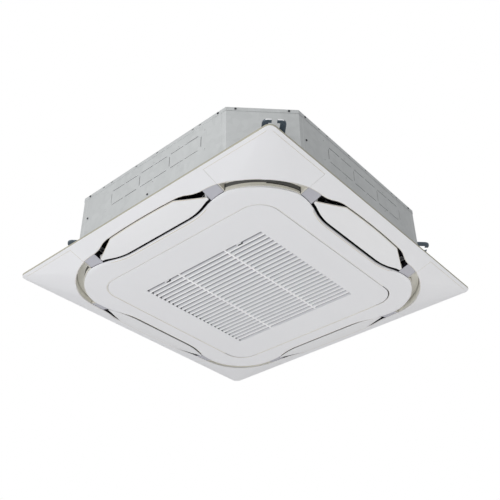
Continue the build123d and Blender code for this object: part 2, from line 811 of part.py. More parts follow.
with BuildPart(mode=Mode.PRIVATE) as knockouts:
    with BuildSketch(east_plane.offset(-3)):
        for index in range(4):
            with Locations((knockout_from + index * knockout_wide, knockout_z)):
                Rectangle(slit, knockout_high - 2 * bridge)
        half_slit = (knockout_wide - 3 * bridge) / 2
        for index in range(3):
            for part_of in (0.5, 1.5):
                slit_at = knockout_from + index * knockout_wide + part_of * (half_slit + bridge)
                with Locations(
                    (slit_at, knockout_z + knockout_high / 2), (slit_at, knockout_z - knockout_high / 2)
                ):
                    Rectangle(half_slit, slit)
        for index in range(5):
            hole_at = small_hole_from + index * small_hole_pitch
            with Locations((hole_at, knockout_z + small_hole_rise), (hole_at, knockout_z - small_hole_rise)):
                Circle(small_hole_r)
    extrude(amount=6)

side_zone = bar(half_body - 60, half_body + 1, -plate_split, plate_split, body_low, body_high)
side_shape = (casing_ring + flange_ring) & side_zone
for tool in [knockouts.part] + screw_holes:
    side_shape = side_shape - tool

pipe_holes = [rod_x(pipe_y, gas_z, half_body - 60, half_body + 9, gas_r + 1.5)]
pipe_holes.append(rod_x(pipe_y, liquid_z, half_body - 60, half_body + 9, liquid_r + 1.5))
drain_hole = rod_y(drain_x, drain_z, half_body - 60, half_body + 9, drain_r + 0.4)
cable_hole = rod_y(cable_x, cable_z, half_body - 60, half_body + 9, cable_r + grommet_wall + 0.1)
side_extra = {"east": pipe_holes, "north": [drain_hole, cable_hole], "west": [], "south": []}

for side, piece in zip(SIDES, in_four(side_shape)):
    with BuildPart() as side_plate:
        add(piece)
        for tool in side_extra[side]:
            add(tool, mode=Mode.SUBTRACT)
    side_plate.part.label = f"side_plate_{side}"
    export_step(side_plate.part, f"parts/side_plate_{side}.step")

corner_from = plate_split + plate_seam
corner_zone = bar(corner_from, half_body + 1, corner_from, half_body + 1, body_low, body_high)
tab_reach = panel_screw_at * sqrt(2) + boss_r
tab_low = chamfer_reach - 2 * sheet
tab = Rot(0, 0, 45) * bar(tab_low, tab_reach, -boss_r - 4, boss_r + 4, body_low, body_low + sheet)
tab = tab - screw_way
corner_shape = ((casing_ring + flange_ring) & corner_zone) + tab
for tool in screw_holes:
    corner_shape = corner_shape - tool

for corner, piece in zip(CORNERS, in_corners(corner_shape)):
    with BuildPart() as corner_plate:
        add(piece)
    corner_plate.part.label = f"corner_plate_{corner}"
    export_step(corner_plate.part, f"parts/corner_plate_{corner}.step")

# ---------------------------------------------------------------- casing screws
screw_shape = Pos(0, 0, screw_head / 2) * Cylinder(screw_head_r, screw_head)
screw_shape = screw_shape + Pos(0, 0, -screw_long / 2) * Cylinder(screw_r, screw_long)

with BuildPart() as casing_screws:
    for spot in all_screws:
        add(spot * screw_shape)
casing_screws.part.label = "casing_screws"
export_step(casing_screws.part, "parts/casing_screws.step")

# ---------------------------------------------------------------- hangers
# Each hanger is drawn at the north-east corner: x runs along the cut corner, y points outwards.
foot_face = chamfer_reach - sheet
rod_out = (rod_pitch_x + rod_pitch_y) / 2 / sqrt(2) - foot_face
rod_along = (rod_pitch_x - rod_pitch_y) / 2 / sqrt(2)
foot_origin = (foot_face / sqrt(2), foot_face / sqrt(2))
hanger_plane = Plane((foot_origin[0], foot_origin[1], rod_z), x_dir=(1, -1, 0), z_dir=(0, 0, 1))
tongue_end = rod_out + hanger_reach



def tongue(inset):
    """Outline of a hanger's tongue, moved inwards by inset."""
    with BuildSketch(mode=Mode.PRIVATE) as outline:
        with Locations((rod_along, (tongue_end - inset) / 2)):
            Rectangle(hanger_wide - 2 * inset, tongue_end - inset)
        fillet(outline.vertices().group_by(Axis.Y)[-1], hanger_round - inset)
    return outline.sketch


with BuildPart(mode=Mode.PRIVATE) as hanger_shape:
    with BuildSketch(hanger_plane):
        add(tongue(0))
    extrude(amount=hanger_sheet)
    with BuildSketch(hanger_plane.offset(hanger_sheet)):
        add(tongue(0))
        add(tongue(hanger_sheet), mode=Mode.SUBTRACT)
    extrude(amount=hanger_rim)
    # round hole for the rod's washer, open to the outside between two prongs
    with BuildSketch(hanger_plane):
        with Locations((rod_along, rod_out)):
            Circle(hanger_hole_r)
        with Locations((rod_along, rod_out + (hanger_reach - hanger_prong) / 2)):
            Rectangle(2 * hanger_hole_r, hanger_reach - hanger_prong)
        with Locations((rod_along, rod_out + hanger_reach)):
            Rectangle(hanger_mouth, 3 * hanger_prong)
    extrude(amount=hanger_sheet + hanger_rim, mode=Mode.SUBTRACT)
    # foot that lies on the cut corner
    with BuildSketch(hanger_plane.offset(hanger_sheet - hanger_foot)):
        with Locations((rod_along, hanger_sheet / 2)):
            Rectangle(hanger_wide, hanger_sheet)
    extrude(amount=hanger_foot)

for corner, piece in zip(CORNERS, in_corners(hanger_shape.part)):
    with BuildPart() as hanger:
        add(piece)
    hanger.part.label = f"hanger_{corner}"
    export_step(hanger.part, f"parts/hanger_{corner}.step")

# ---------------------------------------------------------------- foam liner of the casing
# Eight upright boards stand round the inside of the casing, and one lies under the top plate.
board_top = casing_top - liner_roof - joint_gap
board_end = half_body - body_cut - liner_inset
board_out = half_body - liner_inset
side_board = bar(board_out - foam, board_out, -board_end, board_end, pan_high, board_top)
corner_board = slab(octagon(liner_inset), pan_high, board_top)
corner_board = corner_board - slab(octagon(liner_inset + foam), pan_high, board_top)
board_zone_from = board_end + joint_gap
board_zone = bar(board_zone_from, half_body, board_zone_from, half_body, pan_high, board_top)

with BuildPart() as foam_liner:
    for piece in in_four(side_board) + in_corners(corner_board & board_zone):
        add(piece)
    with BuildSketch(Plane.XY.offset(casing_top - liner_roof)):
        add(octagon(liner_inset))
        with Locations(*isolator_spots):
            Circle(isolator_r + 1, mode=Mode.SUBTRACT)
    extrude(amount=liner_roof)
    for tool in pipe_holes + [drain_hole, cable_hole]:
        add(tool, mode=Mode.SUBTRACT)
foam_liner.part.label = "foam_liner"
export_step(foam_liner.part, "parts/foam_liner.step")

# ---------------------------------------------------------------- drain pan with the air ducts
duct_out = half_body - liner_inset - duct_wall
duct_zone = bar(0, duct_out, 1 - block_from, block_from - 1, ceiling, cut_high)
duct = (slab(outlet(-1), ceiling, cut_high) - slab(island(1), ceiling, cut_high)) & duct_zone

with BuildPart() as drain_pan:
    with BuildSketch(Plane.XY.offset(pan_low)):
        add(octagon(liner_inset))
        add(soft_square(pan_opening, 60), mode=Mode.SUBTRACT)
    extrude(amount=pan_high - pan_low)
    with BuildSketch(Plane.XY.offset(pan_low)):
        add(soft_square(pan_opening + pan_step, 60 + pan_step))
    extrude(amount=pan_step_z - pan_low, mode=Mode.SUBTRACT)
    with BuildSketch(Plane.XY.offset(pan_groove)):
        add(soft_square(coil_out + groove_room, coil_radius + groove_room))
        add(soft_square(coil_in - groove_room, coil_radius - 52), mode=Mode.SUBTRACT)
    extrude(amount=pan_high - pan_groove, mode=Mode.SUBTRACT)
    for tool in in_four(duct):
        add(tool, mode=Mode.SUBTRACT)
drain_pan.part.label = "drain_pan"
export_step(drain_pan.part, "parts/drain_pan.step")

# ---------------------------------------------------------------- bell mouth
bell_high = pan_step_z + bell_roll
bell_throat = bell_plate_r - bell_roll

with BuildPart() as bell_mouth:
    with BuildSketch(Plane.XY.offset(pan_step_z - bell_wall)):
        add(soft_square(pan_opening + pan_step - joint_gap, 60 + pan_step))
        Circle(bell_plate_r - 0.5, mode=Mode.SUBTRACT)
    extrude(amount=bell_wall)
    with BuildSketch(Plane.XZ):
        with BuildLine():
            roll = bell_roll * (1 - cos(radians(45)))
            upper = ThreePointArc(
                (bell_plate_r, pan_step_z),
                (bell_throat + roll, pan_step_z + roll),
                (bell_throat, bell_high),
            )
            lower = ThreePointArc(
                (bell_plate_r, pan_step_z - bell_wall),
                (bell_throat - bell_wall + roll, pan_step_z - bell_wall + roll),
                (bell_throat - bell_wall, bell_high),
            )
            Line(upper @ 0, lower @ 0)
            Line(upper @ 1, lower @ 1)
        make_face()
    revolve(axis=Axis.Z)
bell_mouth.part.label = "bell_mouth"
export_step(bell_mouth.part, "parts/bell_mouth.step")

# ---------------------------------------------------------------- heat exchanger
coil_corner = bar(coil_end, half_body, coil_end, half_body, pan_low, casing_top)

with BuildPart() as coil_fins:
    with BuildSketch(Plane.XY.offset(pan_groove)):
        add(soft_square(coil_out, coil_radius))
        add(soft_square(coil_in, coil_radius - coil_out + coil_in), mode=Mode.SUBTRACT)
    extrude(amount=coil_high - pan_groove)
    add(coil_corner, mode=Mode.SUBTRACT)
coil_fins.part.label = "coil_fins"
export_step(coil_fins.part, "parts/coil_fins.step")

end_wall = 1.2
with BuildPart() as coil_end_plates:
    add(bar(coil_in - 2, coil_out + 2, coil_end, coil_end + end_wall, pan_groove, coil_high))
    add(bar(coil_end, coil_end + end_wall, coil_in - 2, coil_out + 2, pan_groove, coil_high))
coil_end_plates.part.label = "coil_end_plates"
export_step(coil_end_plates.part, "parts/coil_end_plates.step")

with BuildPart(mode=Mode.PRIVATE) as bend:
    with BuildSketch(Plane.XY):
        with Locations((bend_r, 0)):
            Circle(tube_r)
    revolve(axis=Axis.Y, revolution_arc=180)

with BuildPart() as coil_tubes:
    rows = 4
    for row in range(rows):
        bend_z = pan_groove + 22 + row * (coil_high - pan_groove - 44) / (rows - 1)
        for bend_x in (coil_in + 7, coil_out - 7):
            east_end = Plane((bend_x, coil_end + end_wall, bend_z), x_dir=(0, 0, 1), z_dir=(0, -1, 0))
            north_end = Plane((coil_end + end_wall, bend_x, bend_z), x_dir=(0, 0, 1), z_dir=(-1, 0, 0))
            add(east_end.location * bend.part)
            add(north_end.location * bend.part)
coil_tubes.part.label = "coil_tubes"
export_step(coil_tubes.part, "parts/coil_tubes.step")

# ---------------------------------------------------------------- fan
shroud_out = fan_low + 38.0
shroud_mid = (fan_eye + 20, fan_low + 24)
blade_sweep = 38.0        # degrees that a blade trails between its two edges
blade_thick = 3.0

with BuildPart(mode=Mode.PRIVATE) as shroud:
    with BuildSketch(Plane.XZ):
        with BuildLine():
            outside = ThreePointArc((fan_eye, fan_low), shroud_mid, (fan_r, shroud_out))
            inside = ThreePointArc(
                (fan_eye + fan_wall, fan_low),
                (shroud_mid[0] + fan_wall * 0.7, shroud_mid[1] - fan_wall * 0.7),
                (fan_r, shroud_out - fan_wall),
            )
            Line(outside @ 0, inside @ 0)
            Line(outside @ 1, inside @ 1)
        make_face()
    revolve(axis=Axis.Z)

with BuildPart(mode=Mode.PRIVATE) as below_shroud:
    with BuildSketch(Plane.XZ):
        with BuildLine():
            edge = ThreePointArc(
                (fan_eye + 1, fan_low),
                (shroud_mid[0] + 1, shroud_mid[1] - 1),
                (fan_r, shroud_out - 1),
            )
            Polyline(
                edge @ 1,
                (2 * fan_r, shroud_out - 1),
                (2 * fan_r, ceiling),
                (fan_eye + 1, ceiling),
                edge @ 0,
            )
        make_face()
    revolve(axis=Axis.Z)

with BuildPart(mode=Mode.PRIVATE) as blade:
    with BuildSketch(Plane.XY.offset(fan_low + 10)):
        with BuildLine():
            tip = Vector(fan_r - 2, 0).rotate(Axis.Z, -blade_sweep)
            middle = Vector((blade_in + fan_r) / 2 + 4, 0).rotate(Axis.Z, -blade_sweep / 2.6)
            front = ThreePointArc((blade_in + 10, 0), (middle.X, middle.Y), (tip.X, tip.Y))
            rear_tip = Vector(fan_r - 2, 0).rotate(Axis.Z, -blade_sweep - 0.7)
            rear_mid = Vector((blade_in + fan_r) / 2 + 4, 0).rotate(Axis.Z, -blade_sweep / 2.6 - 1.1)
            rear = ThreePointArc(
                (blade_in + 10, -blade_thick), (rear_mid.X, rear_mid.Y), (rear_tip.X, rear_tip.Y)
            )
            Line(front @ 0, rear @ 0)
            Line(front @ 1, rear @ 1)
        make_face()
    extrude(amount=fan_top + 1 - fan_low - 10)
one_blade = blade.part - below_shroud.part

with BuildPart() as fan_wheel:
    with BuildSketch(Plane.XZ):
        with BuildLine():
            Polyline(
                (fan_r, fan_top),
                (fan_r, fan_top + fan_wall),
                (hub_top_r - fan_wall, fan_top + fan_wall),
                (hub_low_r - fan_wall, hub_low + fan_wall),
                (shaft_r + 4, hub_low + fan_wall),
                (shaft_r + 4, hub_low),
                (hub_low_r, hub_low),
                (hub_top_r, fan_top),
                close=True,
            )
        make_face()
    revolve(axis=Axis.Z)
    add(post(0, 0, boss_low, hub_low + fan_wall, hub_boss_r))
    for index in range(blade_count):
        add(one_blade.rotate(Axis.Z, index * 360 / blade_count))
    add(shroud.part)
    add(post(0, 0, boss_low - 1, hub_low + 9, shaft_r + 0.02), mode=Mode.SUBTRACT)
fan_wheel.part.label = "fan_wheel"
export_step(fan_wheel.part, "parts/fan_wheel.step")

nut_high = 8.0
shaft_low = boss_low - nut_high - 4

with BuildPart() as fan_shaft:
    add(post(0, 0, shaft_low, fan_motor_high - 8, shaft_r))
fan_shaft.part.label = "fan_shaft"
export_step(fan_shaft.part, "parts/fan_shaft.step")

with BuildPart() as hub_nut:
    with BuildSketch(Plane.XY.offset(boss_low - nut_high)):
        RegularPolygon(shaft_r * 1.7, 6)
        Circle(shaft_r + 0.02, mode=Mode.SUBTRACT)
    extrude(amount=nut_high)
hub_nut.part.label = "hub_nut"
export_step(hub_nut.part, "parts/hub_nut.step")

# ---------------------------------------------------------------- fan motor and its rubber isolators
ear_z = fan_motor_high - 6

with BuildPart() as fan_motor:
    add(post(0, 0, fan_motor_low, fan_motor_high, fan_motor_r))
    fillet(fan_motor.edges().filter_by(GeomType.CIRCLE), 5)
    add(post(0, 0, fan_motor_low - 4, fan_motor_low + 1, shaft_r * 3))
    for spot in isolator_spots:
        add(post(spot[0], spot[1], ear_z, ear_z + 3, isolator_r + 2))
        arm = Pos(spot[0] * 0.85, spot[1] * 0.85, ear_z + 1.5) * Cylinder(12, 3, mode=Mode.PRIVATE)
        add(arm)
    add(post(0, 0, fan_motor_low - 5, fan_motor_high - 7, shaft_r + shaft_fit), mode=Mode.SUBTRACT)
fan_motor.part.label = "fan_motor"
export_step(fan_motor.part, "parts/fan_motor.step")

with BuildPart() as motor_isolators:
    for spot in isolator_spots:
        add(post(spot[0], spot[1], ear_z + 3, casing_top, isolator_r))
        add(post(spot[0], spot[1], ear_z + 3, ear_z + 6, isolator_r + 1.5))
motor_isolators.part.label = "motor_isolators"
export_step(motor_isolators.part, "parts/motor_isolators.step")

# ---------------------------------------------------------------- control box, lid and circuit board
box_top = pan_step_z - bell_wall
box_x = box_long / 2
box_north = box_y + box_wide / 2
box_south = box_y - box_wide / 2

with BuildPart() as control_box:
    add(bar(-box_x, box_x, box_south, box_north, box_low, box_top))
    inside_x = box_x - sheet
    inside_top = box_top - sheet
    inside = bar(-inside_x, inside_x, box_south + sheet, box_north - sheet, box_low - 1, inside_top)
    add(inside, mode=Mode.SUBTRACT)
control_box.part.label = "control_box"
export_step(control_box.part, "parts/control_box.step")

with BuildPart() as control_lid:
    add(bar(-box_x, box_x, box_south, box_north, box_low - sheet, box_low))
control_lid.part.label = "control_lid"
export_step(control_lid.part, "parts/control_lid.step")

board_z = box_top - sheet - 9
with BuildPart() as circuit_board:
    add(bar(-box_x + 8, box_x - 8, box_south + 5, box_north - 5, board_z, board_z + 1.6))
    for stud_x in (-box_x + 14, 0, box_x - 14):
        add(post(stud_x, box_y, board_z + 1, box_top - sheet, 3))
    for index in range(5):
        part_x = -box_x + 40 + index * 48
        add(bar(part_x, part_x + 26, box_y - 12, box_y + 12, board_z - 9, board_z + 0.5))
circuit_board.part.label = "circuit_board"
export_step(circuit_board.part, "parts/circuit_board.step")

# ---------------------------------------------------------------- drain pump with its riser
pump_low = pan_groove + 12
pump_high = 156.0
riser_r = 8.0
riser_to = 330.0
riser_z = 168.0

with BuildPart() as drain_pump:
    add(post(pump_at, pump_at, pan_groove, pump_low, pump_r * 0.3))
    add(post(pump_at, pump_at, pump_low, pump_high, pump_r))
    add(post(pump_at, pump_at, pump_high, riser_z + riser_r, pump_r * 0.6))
    add(rod_x(pump_at, riser_z, drain_x, pump_at, riser_r))
    add(post(drain_x, pump_at, riser_z, drain_z, riser_r))
    add(rod_y(drain_x, drain_z, pump_at, riser_to, riser_r))
drain_pump.part.label = "drain_pump"
export_step(drain_pump.part, "parts/drain_pump.step")

# ---------------------------------------------------------------- float switch
stem_r = 4.0
stop_r = 7.0
float_high = 12.0
float_low = pan_groove + 4 + slide_gap
stop_low = float_low + float_high + float_travel + slide_gap

with BuildPart() as float_switch:
    add(post(float_x, float_y, pan_groove, stop_low + 18, stem_r))
    add(post(float_x, float_y, pan_groove, pan_groove + 4, stop_r))
    add(post(float_x, float_y, stop_low, stop_low + 18, stop_r))
float_switch.part.label = "float_switch"
export_step(float_switch.part, "parts/float_switch.step")

with BuildPart() as float_ring:
    add(post(float_x, float_y, float_low, float_low + float_high, float_r))
    ring_bore = post(float_x, float_y, float_low - 1, stop_low, stem_r + slide_gap)
    add(ring_bore, mode=Mode.SUBTRACT)
float_ring.part.label = "float_ring"
export_step(float_ring.part, "parts/float_ring.step")

# ---------------------------------------------------------------- drain socket
socket_wall = 3.0

with BuildPart() as drain_socket:
    add(rod_y(drain_x, drain_z, riser_to, half_body - sheet, drain_r - 1))
    add(rod_y(drain_x, drain_z, half_body - sheet, half_body - sheet + socket_flange, drain_r + 5))
    add(rod_y(drain_x, drain_z, half_body - sheet, drain_out, drain_r))
    socket_bore = rod_y(drain_x, drain_z, half_body - 4, drain_out + 1, drain_r - socket_wall)
    add(socket_bore, mode=Mode.SUBTRACT)
drain_socket.part.label = "drain_socket"
export_step(drain_socket.part, "parts/drain_socket.step")

# ---------------------------------------------------------------- refrigerant pipes and unions
pipe_bend = 25.0
pipe_start_x = (coil_in + coil_out) / 2

for name, pipe_z, pipe_r in (("gas_pipe", gas_z, gas_r), ("liquid_pipe", liquid_z, liquid_r)):
    with BuildPart() as pipe:
        with BuildLine() as route:
            FilletPolyline(
                (pipe_start_x, coil_end + end_wall, pipe_z),
                (pipe_start_x, pipe_y, pipe_z),
                (pipe_out, pipe_y, pipe_z),
                radius=pipe_bend,
            )
        with BuildSketch(Plane((pipe_start_x, coil_end + end_wall, pipe_z), z_dir=(0, 1, 0))):
            Circle(pipe_r)
        sweep()
    pipe.part.label = name
    export_step(pipe.part, f"parts/{name}.step")

union_mid = union_from + union_hex
with BuildPart() as flare_unions:
    for pipe_z, pipe_r in ((gas_z, gas_r), (liquid_z, liquid_r)):
        with BuildSketch(Plane.YZ.offset(union_from)):
            with Locations((pipe_y, pipe_z)):
                RegularPolygon(pipe_r + 2 * union_wall, 6)
        extrude(amount=union_hex)
        add(rod_x(pipe_y, pipe_z, union_mid, union_mid + union_thread, pipe_r + union_wall))
        add(rod_x(pipe_y, pipe_z, union_from - 1, pipe_out, pipe_r + 0.02), mode=Mode.SUBTRACT)
flare_unions.part.label = "flare_unions"
export_step(flare_unions.part, "parts/flare_unions.step")

# ---------------------------------------------------------------- cable grommet
grommet_from = half_body - liner_inset - foam
grommet_face = half_body - sheet

with BuildPart() as cable_grommet:
    add(rod_y(cable_x, cable_z, grommet_from, grommet_face, cable_r + grommet_wall))
    add(rod_y(cable_x, cable_z, grommet_face, grommet_face + 3, cable_r + grommet_wall + 4))
    add(rod_y(cable_x, cable_z, grommet_from - 1, grommet_face + 4, cable_r), mode=Mode.SUBTRACT)
cable_grommet.part.label = "cable_grommet"
export_step(cable_grommet.part, "parts/cable_grommet.step")
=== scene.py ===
# %% [markdown]
# A ceiling cassette air conditioner, dressed for the studio.
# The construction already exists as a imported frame: every moulding, plate, pin and fan is there at
# its real size. This lesson gives that frame its finishes, remodels the pieces whose edges and
# folds the eye reads from a step away, and lights them. It loads the frame first, because every
# place below is given in the frame's own millimetres, from the middle of the panel's lowest face.

# %% Load the frame
import json
import math

import bpy
from mathutils import Matrix, Vector
from mathutils.bvhtree import BVHTree


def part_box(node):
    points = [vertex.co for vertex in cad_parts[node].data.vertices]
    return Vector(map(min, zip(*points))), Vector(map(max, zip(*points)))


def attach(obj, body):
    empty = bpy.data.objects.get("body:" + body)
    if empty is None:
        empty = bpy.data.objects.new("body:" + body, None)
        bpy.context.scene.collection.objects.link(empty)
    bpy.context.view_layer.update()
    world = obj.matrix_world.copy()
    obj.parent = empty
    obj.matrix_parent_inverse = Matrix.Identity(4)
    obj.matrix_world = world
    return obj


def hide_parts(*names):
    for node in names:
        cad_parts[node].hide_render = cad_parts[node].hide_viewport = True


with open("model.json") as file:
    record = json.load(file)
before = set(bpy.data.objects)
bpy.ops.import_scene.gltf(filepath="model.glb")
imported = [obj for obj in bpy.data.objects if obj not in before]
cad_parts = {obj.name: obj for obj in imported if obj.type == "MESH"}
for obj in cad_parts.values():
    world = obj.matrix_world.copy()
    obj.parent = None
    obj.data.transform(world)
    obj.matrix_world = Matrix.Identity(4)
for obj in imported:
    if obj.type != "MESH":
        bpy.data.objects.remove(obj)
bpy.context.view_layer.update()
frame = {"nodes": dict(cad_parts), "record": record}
scene = bpy.context.scene
nodes = frame["nodes"]
MM = 0.001
SIDES = ("east", "north", "west", "south")
CORNERS = ("north_east", "north_west", "south_west", "south_east")

# %% [markdown]
# The unit hangs above eye level, so the camera stands low beside one corner of the panel and looks
# up at it. The lens is a short telephoto: the far corner of the panel shrinks only a little. A
# right, up and forward vector say plainly where a camera looks, so its matrix is built from those,
# with the small roll of the hand-held shot.

# %% Camera
CAMERA_AT = Vector((-1.4518, -1.2408, -1.1944))
LOOK = Vector((0.62190, 0.52988, 0.57661)).normalized()
ROLL = math.radians(0.763)
LENS = 54.951

camera_data = bpy.data.cameras.new("camera")
camera_data.lens = LENS
camera_data.sensor_width = 36.0
camera_data.clip_start = 0.05
camera = bpy.data.objects.new("camera", camera_data)
scene.collection.objects.link(camera)
right = LOOK.cross(Vector((0, 0, 1))).normalized()
up = right.cross(LOOK)
roll = Matrix.Rotation(ROLL, 3, LOOK)
axes = Matrix((roll @ right, roll @ up, -LOOK)).transposed().to_4x4()
camera.matrix_world = Matrix.Translation(CAMERA_AT) @ axes
scene.camera = camera
print("camera stands", round(CAMERA_AT.length, 3), "m from the middle of the panel")

# %% [markdown]
# Studio light for a white object on white: the backdrop is bright, and the object must not melt
# into it. So the surroundings give an even grey light, a large soft panel low on the left gives
# the underside and the left wall of the casing their brightness, and the right side stays without
# a light of its own, which lets the sheet metal there fall to a darker grey. The pale floor is
# well below the hanging unit.

# %% Light and backdrop
scene.view_settings.view_transform = "Standard"
world = bpy.data.worlds.new("studio")
scene.world = world
world.use_nodes = True
tree = world.node_tree
tree.nodes.clear()
around = tree.nodes.new("ShaderNodeBackground")
around.inputs["Color"].default_value = (0.97, 0.98, 1.0, 1)
around.inputs["Strength"].default_value = 0.46
behind = tree.nodes.new("ShaderNodeBackground")
behind.inputs["Color"].default_value = (1, 1, 1, 1)
path = tree.nodes.new("ShaderNodeLightPath")
mix = tree.nodes.new("ShaderNodeMixShader")
out = tree.nodes.new("ShaderNodeOutputWorld")
tree.links.new(path.outputs["Is Camera Ray"], mix.inputs["Fac"])
tree.links.new(around.outputs["Background"], mix.inputs[1])
tree.links.new(behind.outputs["Background"], mix.inputs[2])
tree.links.new(mix.outputs["Shader"], out.inputs["Surface"])


def soft_light(name, place, aim, size, power, colour=(1, 1, 1)):
    """A square light panel that faces a point of the object."""
    data = bpy.data.lights.new(name, "AREA")
    data.shape = "SQUARE"
    data.size = size
    data.energy = power
    data.color = colour
    lamp = bpy.data.objects.new(name, data)
    scene.collection.objects.link(lamp)
    lamp.location = place
    lamp.rotation_euler = (Vector(aim) - Vector(place)).to_track_quat("-Z", "Y").to_euler()


soft_light("key", (-2.3, 0.3, -2.3), (0, 0, 0), 2.4, 67, (0.985, 0.985, 1.0))
soft_light("side", (-3.2, 0.4, 0.9), (0, 0, 0.1), 1.6, 22)
soft_light("corner", (-2.7, -2.7, 0.7), (-0.3, -0.3, 0.15), 1.5, 22)
soft_light("low_fill", (1.6, -0.5, -2.4), (0.1, 0, 0), 2.4, 30, (1.0, 0.98, 0.955))

FLOOR_Z = -2.56
bpy.ops.object.select_all(action="DESELECT")
bpy.ops.mesh.primitive_plane_add(size=14, location=(0, 0, FLOOR_Z))
floor = bpy.context.object
floor.name = "floor"
bpy.ops.object.transform_apply()

# %% [markdown]
# A material is a small network of nodes. The same few moves come back in all of them, so they are
# written once.


# %% Shader helpers
def feed(tree, socket, value):
    """Link another node's output to a socket, or set the socket to a plain value."""
    if isinstance(value, bpy.types.NodeSocket):
        tree.links.new(value, socket)
    else:
        socket.default_value = value


def own_place(tree, squeeze=None):
    """The object's own coordinates in metres, scaled along its axes if asked."""
    place = tree.nodes.new("ShaderNodeTexCoord").outputs["Object"]
    if squeeze is None:
        return place
    scaled = tree.nodes.new("ShaderNodeMapping")
    scaled.inputs["Scale"].default_value = squeeze
    tree.links.new(place, scaled.inputs["Vector"])
    return scaled.outputs["Vector"]


def noise(tree, scale, detail, squeeze=None):
    """Procedural noise from 0 to 1."""
    node = tree.nodes.new("ShaderNodeTexNoise")
    feed(tree, node.inputs["Vector"], own_place(tree, squeeze))
    feed(tree, node.inputs["Scale"], scale)
    feed(tree, node.inputs["Detail"], detail)
    return node.outputs["Fac"]


def calculated(tree, operation, first, second):
    """The result of a Math node."""
    node = tree.nodes.new("ShaderNodeMath")
    node.operation = operation
    feed(tree, node.inputs[0], first)
    feed(tree, node.inputs[1], second)
    return node.outputs["Value"]


def mixed(tree, factor, first, second):
    """A colour that goes from the first to the second as the factor rises."""
    node = tree.nodes.new("ShaderNodeMix")
    node.data_type = "RGBA"
    for socket_name, value in (("Factor", factor), ("A", first), ("B", second)):
        feed(tree, node.inputs[socket_name], value)
    return node.outputs["Result"]


def new_group(name, inputs, outputs):
    """An empty node group and its sockets; inputs come with their values, one or four numbers."""
    group = bpy.data.node_groups.new(name, "ShaderNodeTree")
    for socket_name, value in inputs.items():
        kind = "NodeSocketFloat" if isinstance(value, float) else "NodeSocketColor"
        socket = group.interface.new_socket(socket_name, in_out="INPUT", socket_type=kind)
        socket.default_value = value
    for socket_name in outputs:
        kind = "NodeSocketColor" if socket_name == "Color" else "NodeSocketFloat"
        group.interface.new_socket(socket_name, in_out="OUTPUT", socket_type=kind)
    inside = group.nodes.new("NodeGroupInput"), group.nodes.new("NodeGroupOutput")
    return group, inside[0].outputs, inside[1].inputs


def placed(tree, group, **values):
    """A node that runs a shared group with values of its own."""
    node = tree.nodes.new("ShaderNodeGroup")
    node.node_tree = group
    for socket_name, value in values.items():
        node.inputs[socket_name].default_value = value
    return node.outputs


print("shader helpers ready")

# %% [markdown]
# Three effects are shared by the finishes, so they are node groups. The first is a cloudy tint:
# slow noise that moves a colour a little lighter or darker, as no real surface is one flat value.
# The second is a fine height for the Bump node: the spark-eroded grain of a mould. The third is
# the flowered pattern of zinc on dipped steel sheet, large flat crystals that each catch the light
# a little differently. Each material keeps its own shader.

# %% Shared shader groups
tint_group, tint_in, tint_out = new_group(
    "cloudy_tint", {"Light": (1, 1, 1, 1), "Dark": (0, 0, 0, 1), "Scale": 5.0}, ["Color"])
tint_noise = noise(tint_group, tint_in["Scale"], 3.0)
tint = mixed(tint_group, tint_noise, tint_in["Dark"], tint_in["Light"])
tint_group.links.new(tint, tint_out["Color"])

grain_group, grain_in, grain_out = new_group(
    "mould_grain", {"Scale": 900.0}, ["Height", "Rough"])
fine = noise(grain_group, grain_in["Scale"], 2.0)
pits = noise(grain_group, 260.0, 1.0)
half_fine = calculated(grain_group, "MULTIPLY", fine, 0.5)
grain_group.links.new(calculated(grain_group, "ADD", half_fine, pits), grain_out["Height"])
grain_group.links.new(fine, grain_out["Rough"])

zinc_group, zinc_in, zinc_out = new_group(
    "zinc_flowers", {"Scale": 60.0, "Streak": 26.0}, ["Mask"])
flowers = zinc_group.nodes.new("ShaderNodeTexVoronoi")
feed(zinc_group, flowers.inputs["Vector"], own_place(zinc_group))
feed(zinc_group, flowers.inputs["Scale"], zinc_in["Scale"])
flower_tone = zinc_group.nodes.new("ShaderNodeSeparateColor")
zinc_group.links.new(flowers.outputs["Color"], flower_tone.inputs["Color"])
# rolling leaves upright streaks: the noise is stretched along the height
streaks = noise(zinc_group, zinc_in["Streak"], 3.0, (1.0, 1.0, 0.12))
clouds = noise(zinc_group, 7.0, 3.0)
tone = calculated(zinc_group, "MULTIPLY", flower_tone.outputs["Red"], 0.22)
for pattern in (streaks, clouds):
    tone = calculated(zinc_group, "ADD", tone, calculated(zinc_group, "MULTIPLY", pattern, 0.45))
zinc_group.links.new(tone, zinc_out["Mask"])
print("shader groups", [g.name for g in bpy.data.node_groups])

# %% [markdown]
# A finish is described by a light and a dark tint, how rough it is between its smoothest and
# roughest spots, and the size and depth of its grain. One function builds such a material, so the
# list that follows reads like a paint list. Numbers that are the same all over, such as metalness
# or coat, are set on the shader itself.

# %% Material builder
GRAIN_HEIGHT = 0.4 * MM
finishes = {}


